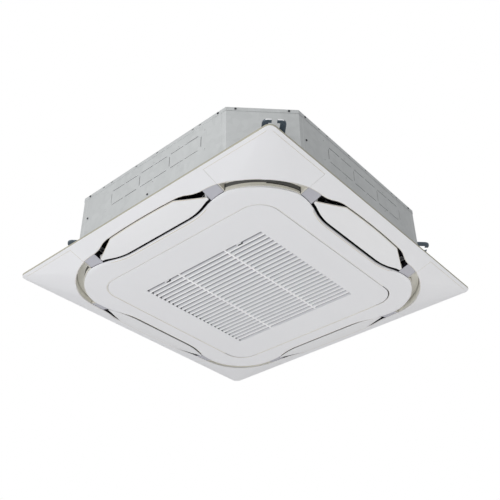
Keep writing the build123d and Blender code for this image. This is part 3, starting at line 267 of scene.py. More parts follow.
def finish(name, light, dark, rough=(0.45, 0.55), metal=0.0, cloud=6.0, grain=900.0, depth=0.02,
           coat=0.0, specular=0.5):
    """Add a material of two tints with grain to the finishes; rough is (smoothest, roughest)."""
    material = bpy.data.materials.new(name)
    material.use_nodes = True
    tree = material.node_tree
    shader = tree.nodes["Principled BSDF"].inputs
    shader["Metallic"].default_value = metal
    shader["Coat Weight"].default_value = coat
    shader["Specular IOR Level"].default_value = specular
    tint = placed(tree, tint_group, Light=(*light, 1), Dark=(*dark, 1), Scale=cloud)
    tree.links.new(tint["Color"], shader["Base Color"])
    mould = placed(tree, grain_group, Scale=grain)
    spread = tree.nodes.new("ShaderNodeMapRange")
    spread.inputs["To Min"].default_value = rough[0]
    spread.inputs["To Max"].default_value = rough[1]
    tree.links.new(mould["Rough"], spread.inputs["Value"])
    tree.links.new(spread.outputs["Result"], shader["Roughness"])
    bump = tree.nodes.new("ShaderNodeBump")
    bump.inputs["Strength"].default_value = depth
    bump.inputs["Distance"].default_value = GRAIN_HEIGHT
    tree.links.new(mould["Height"], bump.inputs["Height"])
    tree.links.new(bump.outputs["Normal"], shader["Normal"])
    finishes[name] = material


def deepened(name, mask, deep):
    """Mix a deep colour into a finish where a mask is high."""
    tree = finishes[name].node_tree
    base = tree.nodes["Principled BSDF"].inputs["Base Color"]
    tree.links.new(mixed(tree, mask, base.links[0].from_socket, (*deep, 1)), base)


print("a grain of", GRAIN_HEIGHT / MM, "mm at full depth")

# %% [markdown]
# The mouldings are a warm white with a satin grain, the flaps a little smoother. Where two
# mouldings meet, the rolled edge is painted a cream tone, painted shading of light bounced into the
# seam, and the walls of the air ducts behind them are painted nearly black as shade, so that the
# dark gaps round the flaps read as drawn lines. Brown painted shade in the seams, a lighter cream of
# painted light in the corner troughs, an olive painted shade on the panel's rim, a brighter painted
# highlight on the grille's slat noses and a darker painted shade on its webs are made here as well.

# %% Finishes of the panel
finish("panel_plastic", (0.83, 0.83, 0.84), (0.80, 0.80, 0.812), (0.42, 0.5), depth=0.06)
finish("flap_plastic", (0.83, 0.83, 0.835), (0.80, 0.80, 0.805), (0.36, 0.44), depth=0.04)
# painted highlight: the slats' noses are brighter than the face
finish("painted_slat_highlight", (0.95, 0.95, 0.95), (0.92, 0.92, 0.925), (0.36, 0.44), depth=0.03)
# painted shading: the cream of light bounced into rolled edges and seams
finish("painted_edge_shading", (0.66, 0.60, 0.47), (0.60, 0.54, 0.42))
# painted shade: the brown of the seams' deep walls
finish("painted_seam_shade", (0.16, 0.12, 0.085), (0.12, 0.09, 0.065), (0.7, 0.8), specular=0.1)
# painted light: a lighter cream where the troughs catch the light
finish("painted_trough_light", (0.90, 0.88, 0.80), (0.86, 0.84, 0.76))
finish("trough_shade", (0.13, 0.13, 0.125), (0.10, 0.10, 0.10), (0.5, 0.6), specular=0.2)
finish("seam_pale", (0.80, 0.785, 0.74), (0.76, 0.745, 0.70))
# painted shade: the grille's webs are darker than the face
finish("painted_web_shade", (0.74, 0.74, 0.77), (0.70, 0.70, 0.73))
# painted shade and reflection: the olive of the panel's upright rim
finish("painted_rim_shade", (0.42, 0.40, 0.31), (0.38, 0.36, 0.28), (0.4, 0.5))
# painted shade: near black for the ducts, gaps and slots that lie in shade
finish("painted_black_shade", (0.016, 0.014, 0.018), (0.010, 0.009, 0.012), (0.85, 0.95), depth=0.2,
       specular=0.05)
finish("guide_plastic", (0.72, 0.70, 0.63), (0.67, 0.65, 0.58), (0.5, 0.6))
finish("bearing_plastic", (0.50, 0.50, 0.54), (0.45, 0.45, 0.49), (0.5, 0.6))

# painted shade: the grille's webs are painted darker the deeper they reach, the tint going towards
# black by height
WEB_SHADE = (4.4, 7.4)
web_tree = finishes["painted_web_shade"].node_tree
web_place = web_tree.nodes.new("ShaderNodeSeparateXYZ")
web_tree.links.new(own_place(web_tree), web_place.inputs["Vector"])
web_depth = web_tree.nodes.new("ShaderNodeMapRange")
web_depth.inputs["From Min"].default_value = WEB_SHADE[0] * MM
web_depth.inputs["From Max"].default_value = WEB_SHADE[1] * MM
web_tree.links.new(web_place.outputs["Z"], web_depth.inputs["Value"])
deepened("painted_web_shade", web_depth.outputs["Result"], (0.09, 0.09, 0.10))
print("panel finishes", len(finishes))

# %% [markdown]
# The casing is dipped zinc sheet with bright punched edges, hung on blackened steel and closed
# with dark screws. On this sheet the flowered zinc takes the place of the plain clouds.

# %% Finishes of the casing
ZINC_LIGHT, ZINC_DARK = (0.68, 0.695, 0.69), (0.52, 0.535, 0.53)
finish("galvanised", ZINC_LIGHT, ZINC_DARK, (0.38, 0.5), metal=0.35, depth=0.03)
finish("cut_zinc", (0.86, 0.88, 0.88), (0.78, 0.80, 0.80), (0.3, 0.4), metal=0.3)
# painted highlight: the white line along the hangers' prongs
finish("painted_prong_highlight", (0.88, 0.89, 0.90), (0.84, 0.85, 0.86), (0.3, 0.4))
# painted shade: the near black seen through the knock-outs' slits
finish("painted_slit_shade", (0.07, 0.07, 0.07), (0.04, 0.04, 0.04), (0.85, 0.95), depth=0.5)
finish("hanger_steel", (0.16, 0.20, 0.235), (0.10, 0.13, 0.155), (0.22, 0.34), metal=0.55)
finish("dark_screws", (0.05, 0.055, 0.065), (0.03, 0.033, 0.04), (0.2, 0.3), metal=0.7, coat=0.6)

zinc_tree = finishes["galvanised"].node_tree
zinc_colour = mixed(zinc_tree, placed(zinc_tree, zinc_group)["Mask"], (*ZINC_DARK, 1),
                    (*ZINC_LIGHT, 1))
zinc_tree.links.new(zinc_colour, zinc_tree.nodes["Principled BSDF"].inputs["Base Color"])
print("with the casing's", len(finishes))

# %% [markdown]
# The inside holds zinc plate, copper, brass, black rubber, dark plastics and three kinds of foam.
# Last, every node of the frame gets the finish that its record asks for.

# %% Finishes of the inside
finish("seal_foam", (0.03, 0.03, 0.03), (0.015, 0.015, 0.015), (0.85, 0.95))
finish("liner_foam", (0.85, 0.85, 0.85), (0.78, 0.78, 0.79), (0.8, 0.9), grain=500.0)
finish("float_foam", (0.03, 0.032, 0.04), (0.02, 0.022, 0.03), (0.7, 0.8))
finish("filter_plastic", (0.06, 0.065, 0.08), (0.04, 0.045, 0.055), (0.5, 0.6))
finish("filter_net", (0.05, 0.05, 0.06), (0.03, 0.03, 0.035), (0.7, 0.85))
finish("dark_plastic", (0.012, 0.012, 0.014), (0.008, 0.008, 0.01), (0.45, 0.6))
finish("fan_plastic", (0.05, 0.055, 0.065), (0.035, 0.04, 0.05), (0.4, 0.5))
finish("pump_plastic", (0.72, 0.72, 0.69), (0.66, 0.66, 0.63), (0.4, 0.5))
finish("socket_plastic", (0.60, 0.61, 0.63), (0.54, 0.55, 0.57), (0.4, 0.5))
finish("black_rubber", (0.02, 0.02, 0.02), (0.012, 0.012, 0.012), (0.7, 0.85))
finish("board_green", (0.02, 0.14, 0.05), (0.012, 0.09, 0.035), (0.3, 0.4), cloud=60.0)
finish("zinc_steel", (0.70, 0.71, 0.74), (0.60, 0.61, 0.64), (0.25, 0.4), metal=1.0)
finish("bright_steel", (0.72, 0.72, 0.73), (0.62, 0.62, 0.63), (0.2, 0.35), metal=1.0)
finish("motor_metal", (0.30, 0.31, 0.33), (0.24, 0.25, 0.27), (0.4, 0.5), metal=0.4)
finish("fin_aluminium", (0.80, 0.81, 0.83), (0.70, 0.71, 0.73), (0.3, 0.4), metal=1.0)
finish("copper", (0.80, 0.42, 0.26), (0.62, 0.30, 0.18), (0.25, 0.4), metal=1.0, cloud=30.0)
finish("brass_unions", (0.80, 0.60, 0.28), (0.66, 0.48, 0.20), (0.25, 0.35), metal=1.0)
finish("floor_paint", (0.86, 0.86, 0.86), (0.84, 0.84, 0.84), (0.7, 0.8))

floor.data.materials.append(finishes["floor_paint"])
slot_of = {s["node"]: s["material_slot"] for s in frame["record"]["subparts"]}
for name, node in nodes.items():
    node.data.materials.clear()
    node.data.materials.append(finishes[slot_of[name]])
print("all finishes", len(finishes))

# %% [markdown]
# The CAD meshes are exact but their edges are razor sharp, and nothing moulded or folded is. A
# rounded edge is what catches the light and draws the form. By hand one would click the edges and
# faces; here the first helpers select them in edit mode by their place and normal.

# %% Helpers that select
FACES, EDGES, POINTS = (False, False, True), (False, True, False), (True, False, False)


def alone(piece):
    """Select one object and nothing else."""
    bpy.ops.object.select_all(action="DESELECT")
    piece.select_set(True)
    bpy.context.view_layer.objects.active = piece


def edit(piece, kind=FACES, everything=False):
    """Open a piece in edit mode with all or none of it selected."""
    alone(piece)
    bpy.ops.object.mode_set(mode="EDIT")
    bpy.context.tool_settings.mesh_select_mode = kind
    bpy.ops.mesh.select_all(action="SELECT" if everything else "DESELECT")


def done():
    """Leave edit mode."""
    bpy.ops.object.mode_set(mode="OBJECT")


def pick_faces(piece, test):
    """Open edit mode with the faces selected whose middle (mm) and normal pass a test."""
    edit(piece)
    done()
    for face in piece.data.polygons:
        face.select = bool(test(face.center / MM, face.normal))
    bpy.ops.object.mode_set(mode="EDIT")


def pick_sharp_edges(piece, test, sharp=30.0):
    """Open edit mode with the sharp edges selected whose middle (mm) passes a test."""
    edit(piece, EDGES)
    bpy.ops.mesh.edges_select_sharp(sharpness=math.radians(sharp))
    done()
    mesh = piece.data
    places = [vertex.co / MM for vertex in mesh.vertices]
    keep = [edge.select and bool(test((places[edge.vertices[0]] + places[edge.vertices[1]]) / 2))
            for edge in mesh.edges]
    mesh.vertices.foreach_set("select", [False] * len(mesh.vertices))
    mesh.polygons.foreach_set("select", [False] * len(mesh.polygons))
    mesh.edges.foreach_set("select", keep)
    bpy.ops.object.mode_set(mode="EDIT")
    return sum(keep)


def pick_points(piece, test):
    """Open edit mode with the points selected whose place (mm) passes a test."""
    edit(piece, POINTS)
    done()
    for point in piece.data.vertices:
        point.select = bool(test(point.co / MM))
    bpy.ops.object.mode_set(mode="EDIT")


def reach(place):
    """How far a point lies from the middle, as a square sees it."""
    return max(abs(place.x), abs(place.y))


def sideways(place):
    """How far a point lies from the middle of its own side of that square."""
    return min(abs(place.x), abs(place.y))


def outwards(place, normal):
    """How much a face looks away from the middle of the panel."""
    return place.x * normal.x + place.y * normal.y


# %% [markdown]
# The next helpers do the work: round, paint, drop, cut, turn and shade. A bevel can paint the
# faces that it makes, which is the simplest way to draw a fine line along an edge. With no window,
# Blender's rotate operator turns the other way, which is why the angle has a minus.


# %% Helpers that shape and paint
def place_in(piece, finish_name):
    """The number of a finish in a piece's own list of materials."""
    return list(piece.data.materials).index(finishes[finish_name])


def round_edges(piece, width, segments=2, test=lambda place: True, sharp=30.0, paint=None,
                clamp=False):
    """Bevel the sharp edges that pass a test; the new faces may get a finish of their own."""
    if pick_sharp_edges(piece, test, sharp):
        bpy.ops.mesh.bevel(offset=width * MM, segments=segments, clamp_overlap=clamp,
                           material=place_in(piece, paint) if paint else -1)
    done()


def paint_faces(piece, finish_name, test):
    """Give the faces that pass a test another finish of the piece."""
    number = place_in(piece, finish_name)
    for face in piece.data.polygons:
        if test(face.center / MM, face.normal):
            face.material_index = number


def drop_faces(piece, test):
    """Delete the faces that pass a test."""
    pick_faces(piece, test)
    bpy.ops.mesh.delete(type="FACE")
    done()


def cut(piece, point, normal, below=False, above=False):
    """Cut a whole piece with a plane, in millimetres, and drop one side if asked."""
    edit(piece, everything=True)
    bpy.ops.mesh.bisect(plane_co=Vector(point) * MM, plane_no=normal, clear_inner=below,
                        clear_outer=above)
    done()


def turned(piece, quarters):
    """Turn a piece about the upright axis by quarter turns, from south towards east."""
    edit(piece, everything=True)
    bpy.ops.transform.rotate(value=-math.radians(90 * quarters), orient_axis="Z",
                             center_override=(0, 0, 0))
    done()


def extrude(x, y, z):
    """Extrude what is selected, in millimetres."""
    step = (x * MM, y * MM, z * MM)
    bpy.ops.mesh.extrude_region_move(TRANSFORM_OT_translate={"value": step})


def face_outwards():
    """Select all of the piece in edit mode and turn its faces to the outside."""
    bpy.ops.mesh.select_all(action="SELECT")
    bpy.ops.mesh.normals_make_consistent(inside=False)


def smooth(piece, angle=40.0):
    """Smooth shading up to an angle, with the flat faces kept flat."""
    alone(piece)
    bpy.ops.object.shade_smooth_by_angle(angle=math.radians(angle))
    weighted = piece.modifiers.new("weighted", "WEIGHTED_NORMAL")
    weighted.keep_sharp = True
    bpy.ops.object.modifier_apply(modifier=weighted.name)


print("shaping helpers ready")

# %% [markdown]
# A piece starts as a primitive or as a welded copy of a CAD node, whose loose triangles are merged
# and whose flat faces are joined. The node's own mesh is never changed. A wide bevel can throw a
# few points far out where edges meet at a slant, so one more helper finds the points that left the
# CAD form and lets an applied Shrinkwrap pull back just those. At the end a piece is settled: it
# rides on the right body and stands for its node.

# %% Helpers that start and settle a piece
WELD = 0.01
OUTSIDE = 0.15
body_of = {name: body for body, names in frame["record"]["behaviour"]["bodies"].items()
           for name in names}


def started(piece_name, *finish_names):
    """Name the primitive that was just added and give it its finishes."""
    piece = bpy.context.object
    piece.name = piece_name
    for finish_name in finish_names:
        piece.data.materials.append(finishes[finish_name])
    return piece


def block(piece_name, low, high, *finish_names):
    """A box between two corners in millimetres, a start for shaping."""
    bpy.ops.object.select_all(action="DESELECT")
    middle = (Vector(low) + Vector(high)) / 2 * MM
    size = (Vector(high) - Vector(low)) * MM
    bpy.ops.mesh.primitive_cube_add(size=1, location=middle, scale=size)
    bpy.ops.object.transform_apply()
    return started(piece_name, *finish_names)


def rounded_square(piece_name, size, height, corner, *finish_names):
    """A flat square whose corner points are bevelled round, also a start for shaping."""
    bpy.ops.object.select_all(action="DESELECT")
    bpy.ops.mesh.primitive_plane_add(size=size * MM, location=(0, 0, height * MM))
    bpy.ops.object.transform_apply()
    piece = started(piece_name, *finish_names)
    edit(piece, POINTS, everything=True)
    bpy.ops.mesh.bevel(offset=corner * MM, segments=14, affect="VERTICES")
    done()
    return piece


def joined(piece_name, parts):
    """Join several parts of one moulding into one object."""
    alone(parts[0])
    for part in parts:
        part.select_set(True)
    bpy.ops.object.join()
    parts[0].name = piece_name
    return parts[0]


def welded_copy(name, *finish_names, flat=0.5):
    """A new object with a CAD node's shape, merged, its flat faces (up to flat degrees) joined."""
    piece = bpy.data.objects.new(name + "_form", nodes[name].data.copy())
    scene.collection.objects.link(piece)
    piece.data.materials.clear()
    for finish_name in finish_names or (slot_of[name],):
        piece.data.materials.append(finishes[finish_name])
    edit(piece, everything=True)
    bpy.ops.mesh.remove_doubles(threshold=WELD * MM)
    bpy.ops.mesh.dissolve_limited(angle_limit=math.radians(flat))
    done()
    if piece.data.has_custom_normals:
        bpy.ops.mesh.customdata_custom_splitnormals_clear()
    return piece


def tuck_in(piece, name):
    """Pull the points that a bevel threw outside the CAD form back onto it."""
    mesh = nodes[name].data
    form = BVHTree.FromPolygons([point.co / MM for point in mesh.vertices],
                                [face.vertices for face in mesh.polygons])

    def thrown_out(place):
        nearest, normal, _, distance = form.find_nearest(place)
        return distance > OUTSIDE and (place - nearest).dot(normal) > 0

    pick_points(piece, thrown_out)
    bpy.ops.object.vertex_group_add()
    bpy.ops.object.vertex_group_assign()
    done()
    wrap = piece.modifiers.new("tuck", "SHRINKWRAP")
    wrap.target = nodes[name]
    wrap.vertex_group = piece.vertex_groups.active.name
    wrap.wrap_method = "NEAREST_SURFACEPOINT"
    wrap.wrap_mode = "INSIDE"
    bpy.ops.object.modifier_apply(modifier=wrap.name)
    bpy.ops.object.vertex_group_remove(all=True)


def settle(piece, node):
    """The piece rides on the body of a CAD node, and stands for that node."""
    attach(piece, body_of[node])
    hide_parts(node)


def show(piece, node, angle=40.0):
    """The last steps of a piece that stands for a CAD node."""
    smooth(piece, angle)
    settle(piece, node)


print("bodies of", len(body_of), "nodes known")

# %% [markdown]
# The panel frame is the big sloped square. Its inner edge, beside each flap, is rolled over and
# shows as a white line; a faint cream line of painted shading marks where the roll begins. The wall
# behind it, the mouth of the air duct, is painted black as shade, and brown as shade beside the
# middle of each flap. In the four corners the same wall closes a trough and is painted a lighter
# cream as painted light. Its low upright rim is painted an olive tone of shade and reflection. So
# the copy gets one wide bevel along the outlet edge, and its faces are painted by where they are
# and which way they look.

# %% Panel frame
MOUTH = 450
CLOSED_CORNER = 254


def roll_edge(piece, radius, test):
    """Roll an edge over and paint a cream line of shading where the roll begins."""
    round_edges(piece, radius, 4, test, paint="painted_edge_shading")
    cream = place_in(piece, "painted_edge_shading")
    for face in piece.data.polygons:
        if face.material_index == cream and face.normal.z > -0.955:
            face.material_index = 0


def mouth_wall(place, normal):
    """Is a face part of the upright wall round the outlets, which looks to the middle?"""
    return abs(normal.z) < 0.1 and reach(place) < MOUTH and outwards(place, normal) < 0


panel = welded_copy("panel_frame", "panel_plastic", "painted_black_shade", "painted_rim_shade", "painted_edge_shading",
                    "painted_seam_shade", "painted_trough_light", flat=0.05)
roll_edge(panel, 2.4, lambda p: p.z < 23 and 398 < reach(p) < MOUTH and sideways(p) < 253)
round_edges(panel, 0.8, 2, lambda p: p.z > 29.5 and reach(p) > 468, sharp=20)
# painted shade: the wall round the outlets is black
paint_faces(panel, "painted_black_shade", mouth_wall)
# painted shade: brown on the duct wall beside the middle of each flap
paint_faces(panel, "painted_seam_shade",
            lambda c, n: mouth_wall(c, n) and reach(c) > 428 and sideways(c) < 150)
# painted light: the wall in the four corners is a lighter cream
paint_faces(panel, "painted_trough_light", lambda c, n: mouth_wall(c, n) and sideways(c) > CLOSED_CORNER)
# what looks down into the ducts above the ceiling's plane is painted dark shade as well
paint_faces(panel, "painted_black_shade", lambda c, n: c.z > 36.5 and reach(c) < MOUTH
            and (n.z < -0.5 or outwards(c, n) < 0))
# painted shade and reflection: the rim's upright faces are olive
paint_faces(panel, "painted_rim_shade", lambda c, n: abs(n.z) < 0.85 and reach(c) > 466 and c.z > 30.4
            and outwards(c, n) > 0)
show(panel, "panel_frame", 32)
print("panel frame", len(panel.data.polygons), "faces")

# %% [markdown]
# Four loose covers close the corners over the panel's screws. Each continues the rolled outlet
# edge, and the faint line round it is only its fine gap. Half a millimetre of gap renders far too
# black, so the cover is scaled up by a hair about its own middle, and its edges are bevelled very
# little and painted the cream tone of light that has bounced inside the gap, a painted shading. Its
# walls round the outlets are painted brown as shade.

# %% Corner covers
COVER_SEAM = 253.7
COVER_BACK = 464.3
COVER_GROWTH = 1.0028


def off_seam(place):
    """How far a point lies from a cover's two straight seams."""
    return abs(sideways(place) - COVER_SEAM)


for corner in CORNERS:
    name = "corner_cover_" + corner
    cover = welded_copy(name, "panel_plastic", "painted_seam_shade", "painted_edge_shading", flat=0.05)
    roll_edge(cover, 2.2, lambda p: p.z < 23 and 300 < reach(p) < 452 and off_seam(p) > 1)
    round_edges(cover, 0.6, 1, lambda p: p.z < 30 and reach(p) > 255
                and (off_seam(p) < 0.6 or abs(reach(p) - COVER_BACK) < 0.6), paint="painted_edge_shading")
    tuck_in(cover, name)
    low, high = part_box(name)
    edit(cover, everything=True)
    bpy.ops.transform.resize(value=(COVER_GROWTH, COVER_GROWTH, 1),
                             center_override=(low + high) / 2)
    done()
    # painted shade: brown on the cover's walls round the outlets
    paint_faces(cover, "painted_seam_shade", lambda c, n: mouth_wall(c, n) and off_seam(c) > 2)
    show(cover, name, 32)
print("corner covers", len(CORNERS))

# %% [markdown]
# The island between the outlets and the grille is one flat moulding with a rolled outer edge. Its
# outer walls drop into the dark ducts. A cut six millimetres above its face keeps the rolled lip
# white, as on the real one, and everything behind that line is painted black as the shade of the
# ducts. Its rolled edges and its inner edge get a fine cream line of painted shading.

# %% Island
LIP = 6.0


def island_edge(place, side_reach):
    """Is a place on the island's outline, beyond a reach or on one of its rounded corners?"""
    return reach(place) > side_reach or abs(place.x) + abs(place.y) > 600


island = welded_copy("inner_panel", "panel_plastic", "painted_black_shade", "painted_edge_shading")
cut(island, (0, 0, LIP), (0, 0, 1))
roll_edge(island, 4.5, lambda p: p.z < 1 and island_edge(p, 340))
round_edges(island, 0.5, 1, lambda p: p.z < 0.5 and reach(p) < 320, paint="painted_edge_shading")
tuck_in(island, "inner_panel")
# painted shade: the island's walls behind the lip are black
paint_faces(island, "painted_black_shade", lambda c, n: c.z > LIP and abs(n.z) < 0.5
            and island_edge(c, 350) and outwards(c, n) > 0)
show(island, "inner_panel", 32)
print("island", len(island.data.polygons), "faces")

# %% [markdown]
# A flap is a thin curved blade with soft edges on every side. The long edge that faces outwards
# is painted tan, a painted glow of the light that reaches it past the cream inside of the panel. The
# bevels stop short of the tips: they pass the island closely when the flap swings, and a bevel
# would push them into it.

# %% Air flaps
FLAP_BACK = 402
FLAP_FRONT = 366
for side in SIDES:
    name = "flap_" + side
    flap = welded_copy(name, "flap_plastic", "painted_edge_shading")
    round_edges(flap, 1.0, 1, lambda p: reach(p) > FLAP_BACK and sideways(p) < 198 and p.z < 23,
                sharp=40, paint="painted_edge_shading")
    round_edges(flap, 1.3, 3, lambda p: FLAP_FRONT < reach(p) < FLAP_BACK and sideways(p) < 192
                and p.z < 24, sharp=40)
    tuck_in(flap, name)
    show(flap, name)
print("flaps", len(SIDES))

# %% [markdown]
# The suction grille is one moulding: a face plate with a field of slots, and between the slots
# slats with a rounded nose and a web that leans back, so that nobody looks straight in. A real
# grille has one slat drawn well and repeated, so the same is done here. The face plate is a plane
# with bevelled corner points, the window in it is cut with four bisects, and it is then extruded.

# %% Grille face plate
PITCH = 16.8
SLOTS = 25
FIELD_X = 207.3
FIELD_Y = 219.0
SKIN = 2.5
plate = rounded_square("grille_plate", 620, SKIN, 62, "panel_plastic")
for side_x in (-FIELD_X, FIELD_X):
    cut(plate, (side_x, 0, 0), (1, 0, 0))
for side_y in (-FIELD_Y, FIELD_Y):
    cut(plate, (0, side_y, 0), (0, 1, 0))
drop_faces(plate, lambda c, n: abs(c.x) < FIELD_X - 1 and abs(c.y) < FIELD_Y - 1)
edit(plate, everything=True)
extrude(0, 0, -SKIN)
face_outwards()
done()
# first the outer edge of the plate, then the edge of its window
round_edges(plate, 1.1, 3, lambda p: p.z < 0.1 and p.length > 250, sharp=60)
round_edges(plate, 0.6, 2, lambda p: p.z < 0.1 and abs(p.x) < FIELD_X + 0.5
            and abs(p.y) < FIELD_Y + 0.5, sharp=60)
print("face plate", len(plate.data.polygons), "faces")

# %% [markdown]
# One slat: the nose is a bar whose two lower edges are rounded, and the web is a strip that is
# extruded up and back. The nose is painted brighter than the face round it, a painted highlight of
# its curve mirroring the light from below, and the web is painted darker the deeper it goes, as
# painted shade. An Array modifier repeats each.

# %% Grille slats
FIRST_BAR = -195.9
BAR_WIDTH = 5.4


def repeated(piece, count, step):
    """Repeat a piece along X with an applied Array modifier."""
    alone(piece)
    array = piece.modifiers.new("row", "ARRAY")
    array.count = count
    array.use_relative_offset = False
    array.use_constant_offset = True
    array.constant_offset_displace = (step * MM, 0, 0)
    bpy.ops.object.modifier_apply(modifier=array.name)


def leaning(strip, back, up):
    """Extrude the top of a strip up and back."""
    pick_faces(strip, lambda c, n: n.z > 0.9)
    extrude(-back, 0, up)
    done()
    return strip


def web(piece_name, bar_x, y_from, y_to):
    """A slanted web behind one slat, between two places along it."""
    low, high = (bar_x + 0.02, y_from, SKIN - 0.3), (bar_x + 1.6, y_to, SKIN)
    return leaning(block(piece_name, low, high, "painted_web_shade"), 8, 10)


nose = block("nose", (FIRST_BAR, -FIELD_Y, 0), (FIRST_BAR + BAR_WIDTH, FIELD_Y, SKIN),
             "painted_slat_highlight")
round_edges(nose, 1.3, 3, lambda p: p.z < 0.1 and abs(p.y) < 1)
repeated(nose, SLOTS - 1, PITCH)
webs = web("webs", FIRST_BAR + PITCH, -FIELD_Y, FIELD_Y)
repeated(webs, SLOTS - 1, PITCH)
print("slats", SLOTS - 1, "webs", SLOTS)

# %% [markdown]
# The first web would stand in the way of the two latches, so it is made in three lengths, and
# behind each latch only its upper part goes on. Two ribs cross all the slats and tie them together.

# %% Grille latch notches and ribs
LATCH_Y = 138.0
NOTCH = 9
RIB_Y = 88.0
short_webs = [web("short_web", FIRST_BAR, low, high)
              for low, high in ((-FIELD_Y, -LATCH_Y - NOTCH), (-LATCH_Y + NOTCH, LATCH_Y - NOTCH),
                                (LATCH_Y + NOTCH, FIELD_Y))]
notch_backs = []
for latch_y in (-LATCH_Y, LATCH_Y):
    back = block("notch_back", (FIRST_BAR - 3.3, latch_y - NOTCH, 6.5),
                 (FIRST_BAR - 1.7, latch_y + NOTCH, 6.7), "painted_web_shade")
    notch_backs.append(leaning(back, 4.7, 5.8))
ribs = []
for rib_y in (-RIB_Y, RIB_Y):
    rib = block("rib", (-FIELD_X, rib_y - 2.6, 1.6), (FIELD_X, rib_y + 2.6, 12.4), "painted_slat_highlight")
    round_edges(rib, 0.8, 2, lambda p: p.z < 1.1 and abs(p.x) < 1)
    ribs.append(rib)
print("short webs", len(short_webs), "notches", len(notch_backs), "ribs", len(ribs))

# %% [markdown]
# The rim round the back of the face plate and the four hinge ears carry the grille, so they come
# from the CAD copy: it is cut off just above the face and its own webs and ribs are dropped.

# %% Grille rim, ears and assembly
rim = welded_copy("suction_grille", "panel_plastic")
drop_faces(rim, lambda c, n: abs(c.x) < 222 and abs(c.y) < 222)
cut(rim, (0, 0, 2.3), (0, 0, 1), below=True)
drop_faces(rim, lambda c, n: c.z < 2.52 and abs(n.z) > 0.9)
grille_parts = [plate, rim, nose, webs, *short_webs, *notch_backs, *ribs]
for part in grille_parts:
    smooth(part)
grille = joined("grille_form", grille_parts)
settle(grille, "suction_grille")
print("grille", len(grille.data.polygons), "faces")

# %% [markdown]
# The seam round the grille is three millimetres wide, but on the real unit it is no black line:
# light falls on a pale ledge inside it. A thin ledge strip sits in the seam on three sides and,
# straight and narrower, beside the hinge, where the turning grille needs the room. A cut strip has
# open ends, and filling its open edges closes them.

# %% Seam ledge
LEDGE_Z = 1.4
LEDGE_HEIGHT = 0.8
ledge = rounded_square("seam_ledge", 627, LEDGE_Z, 65.5, "seam_pale")
edit(ledge, everything=True)
bpy.ops.mesh.inset(thickness=2.7 * MM)
done()
drop_faces(ledge, lambda c, n: abs(c.x) < 200 and abs(c.y) < 200)
edit(ledge, everything=True)
extrude(0, 0, LEDGE_HEIGHT)
face_outwards()
done()
cut(ledge, (236, 0, 0), (1, 0, 0), above=True)
edit(ledge, EDGES)
bpy.ops.mesh.select_non_manifold()
bpy.ops.mesh.fill()
done()
hinge_ledge = block("hinge_ledge", (311.4, -238, LEDGE_Z), (313.5, 238, LEDGE_Z + LEDGE_HEIGHT),
                    "seam_pale")
round_edges(hinge_ledge, 0.3, 1, lambda p: p.z < 1.5 and p.x < 312)
ledge = joined("seam_ledge", [ledge, hinge_ledge])
smooth(ledge)
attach(ledge, "root")
print("seam ledge", len(ledge.data.polygons), "faces")

# %% [markdown]
# Two latches sit in the first slot and are slid with a finger. Only their edges are softened.

# %% Latches
LATCHES = ("latch_north", "latch_south")
for name in LATCHES:
    latch = welded_copy(name)
    round_edges(latch, 0.5, sharp=40)
    show(latch, name)
print("latches", len(LATCHES))

# %% [markdown]
# In each corner of the outlet ring, between the ends of two flaps, a beige guide closes the duct.
# It is cut at two heights, so that bands of it can be painted with light and shade: the ceiling of
# its trough a lighter cream as painted light, its outer wall beside the cover dark as painted shade,
# and the gap under one half of that wall black as painted shadow.

# %% Corner guides
GAP_BAND = (13.4, 15.9)
guides = welded_copy("corner_guides", "guide_plastic", "painted_trough_light", "trough_shade", "painted_black_shade")
for height in GAP_BAND:
    cut(guides, (0, 0, height), (0, 0, 1))
# the outer wall is moved out until it meets the panel's own
pick_faces(guides, lambda c, n: 27.5 < c.z < 31 and abs(n.z) < 0.3 and outwards(c, n) > 0
           and sideways(c) > 274)
bpy.ops.transform.resize(value=(1.0112, 1.0112, 1), center_override=(0, 0, 0))
done()
# painted light: the trough's ceiling is a lighter cream
paint_faces(guides, "painted_trough_light", lambda c, n: 27 < c.z < 29 and n.z < -0.9)
# painted shade: the guide's outer upper wall is dark
paint_faces(guides, "trough_shade", lambda c, n: GAP_BAND[1] < c.z < 29 and abs(n.z) < 0.5
            and outwards(c, n) > 0 and sideways(c) > 256)
# painted shadow: a black band under one half of that wall
paint_faces(guides, "painted_black_shade", lambda c, n: GAP_BAND[0] < c.z < GAP_BAND[1] and abs(n.z) < 0.3
            and sideways(c) > 256 and (abs(c.y) > abs(c.x)) == (c.x * c.y > 0))
show(guides, "corner_guides")
print("guides", len(guides.data.polygons), "faces")

# %% [markdown]
# Pale lilac blocks at both ends of a guide hold the flaps' pins. Their edges are broken lightly,
# and the side towards the flap, in the dark of the duct, is painted black as shade. A thin black
# strip of painted shadow marks the gap where each end of a guide meets the walls. One strip is
# mirrored and turned to all eight places.

# %% Bearing blocks and shadow gaps
blocks = welded_copy("bearing_blocks", "bearing_plastic", "painted_black_shade")
round_edges(blocks, 0.9, 2, lambda p: p.z < 25, sharp=40)
paint_faces(blocks, "painted_black_shade", lambda c, n: abs(n.z) < 0.2 and c.z > 13 and sideways(c) < 206.5)
show(blocks, "bearing_blocks")
gaps = []
for turns in range(4):
    for mirror in (1, -1):
        gap = block("guide_gap", (388.0, 256.2, 6.5), (389.8, 257.4, 27.6), "painted_black_shade")
        round_edges(gap, 0.2, 1, lambda p: p.z < 7)
        if mirror < 0:
            # the other end of the guide lies across the diagonal of the corner
            edit(gap, everything=True)
            bpy.ops.transform.resize(value=(1, -1, 1), center_override=(0, 0, 0))
            face_outwards()
            done()
        turned(gap, -turns)
        gaps.append(gap)
gap_strips = joined("guide_gaps", gaps)
smooth(gap_strips)
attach(gap_strips, "root")
print("blocks", len(blocks.data.polygons), "faces, gaps", len(gaps))

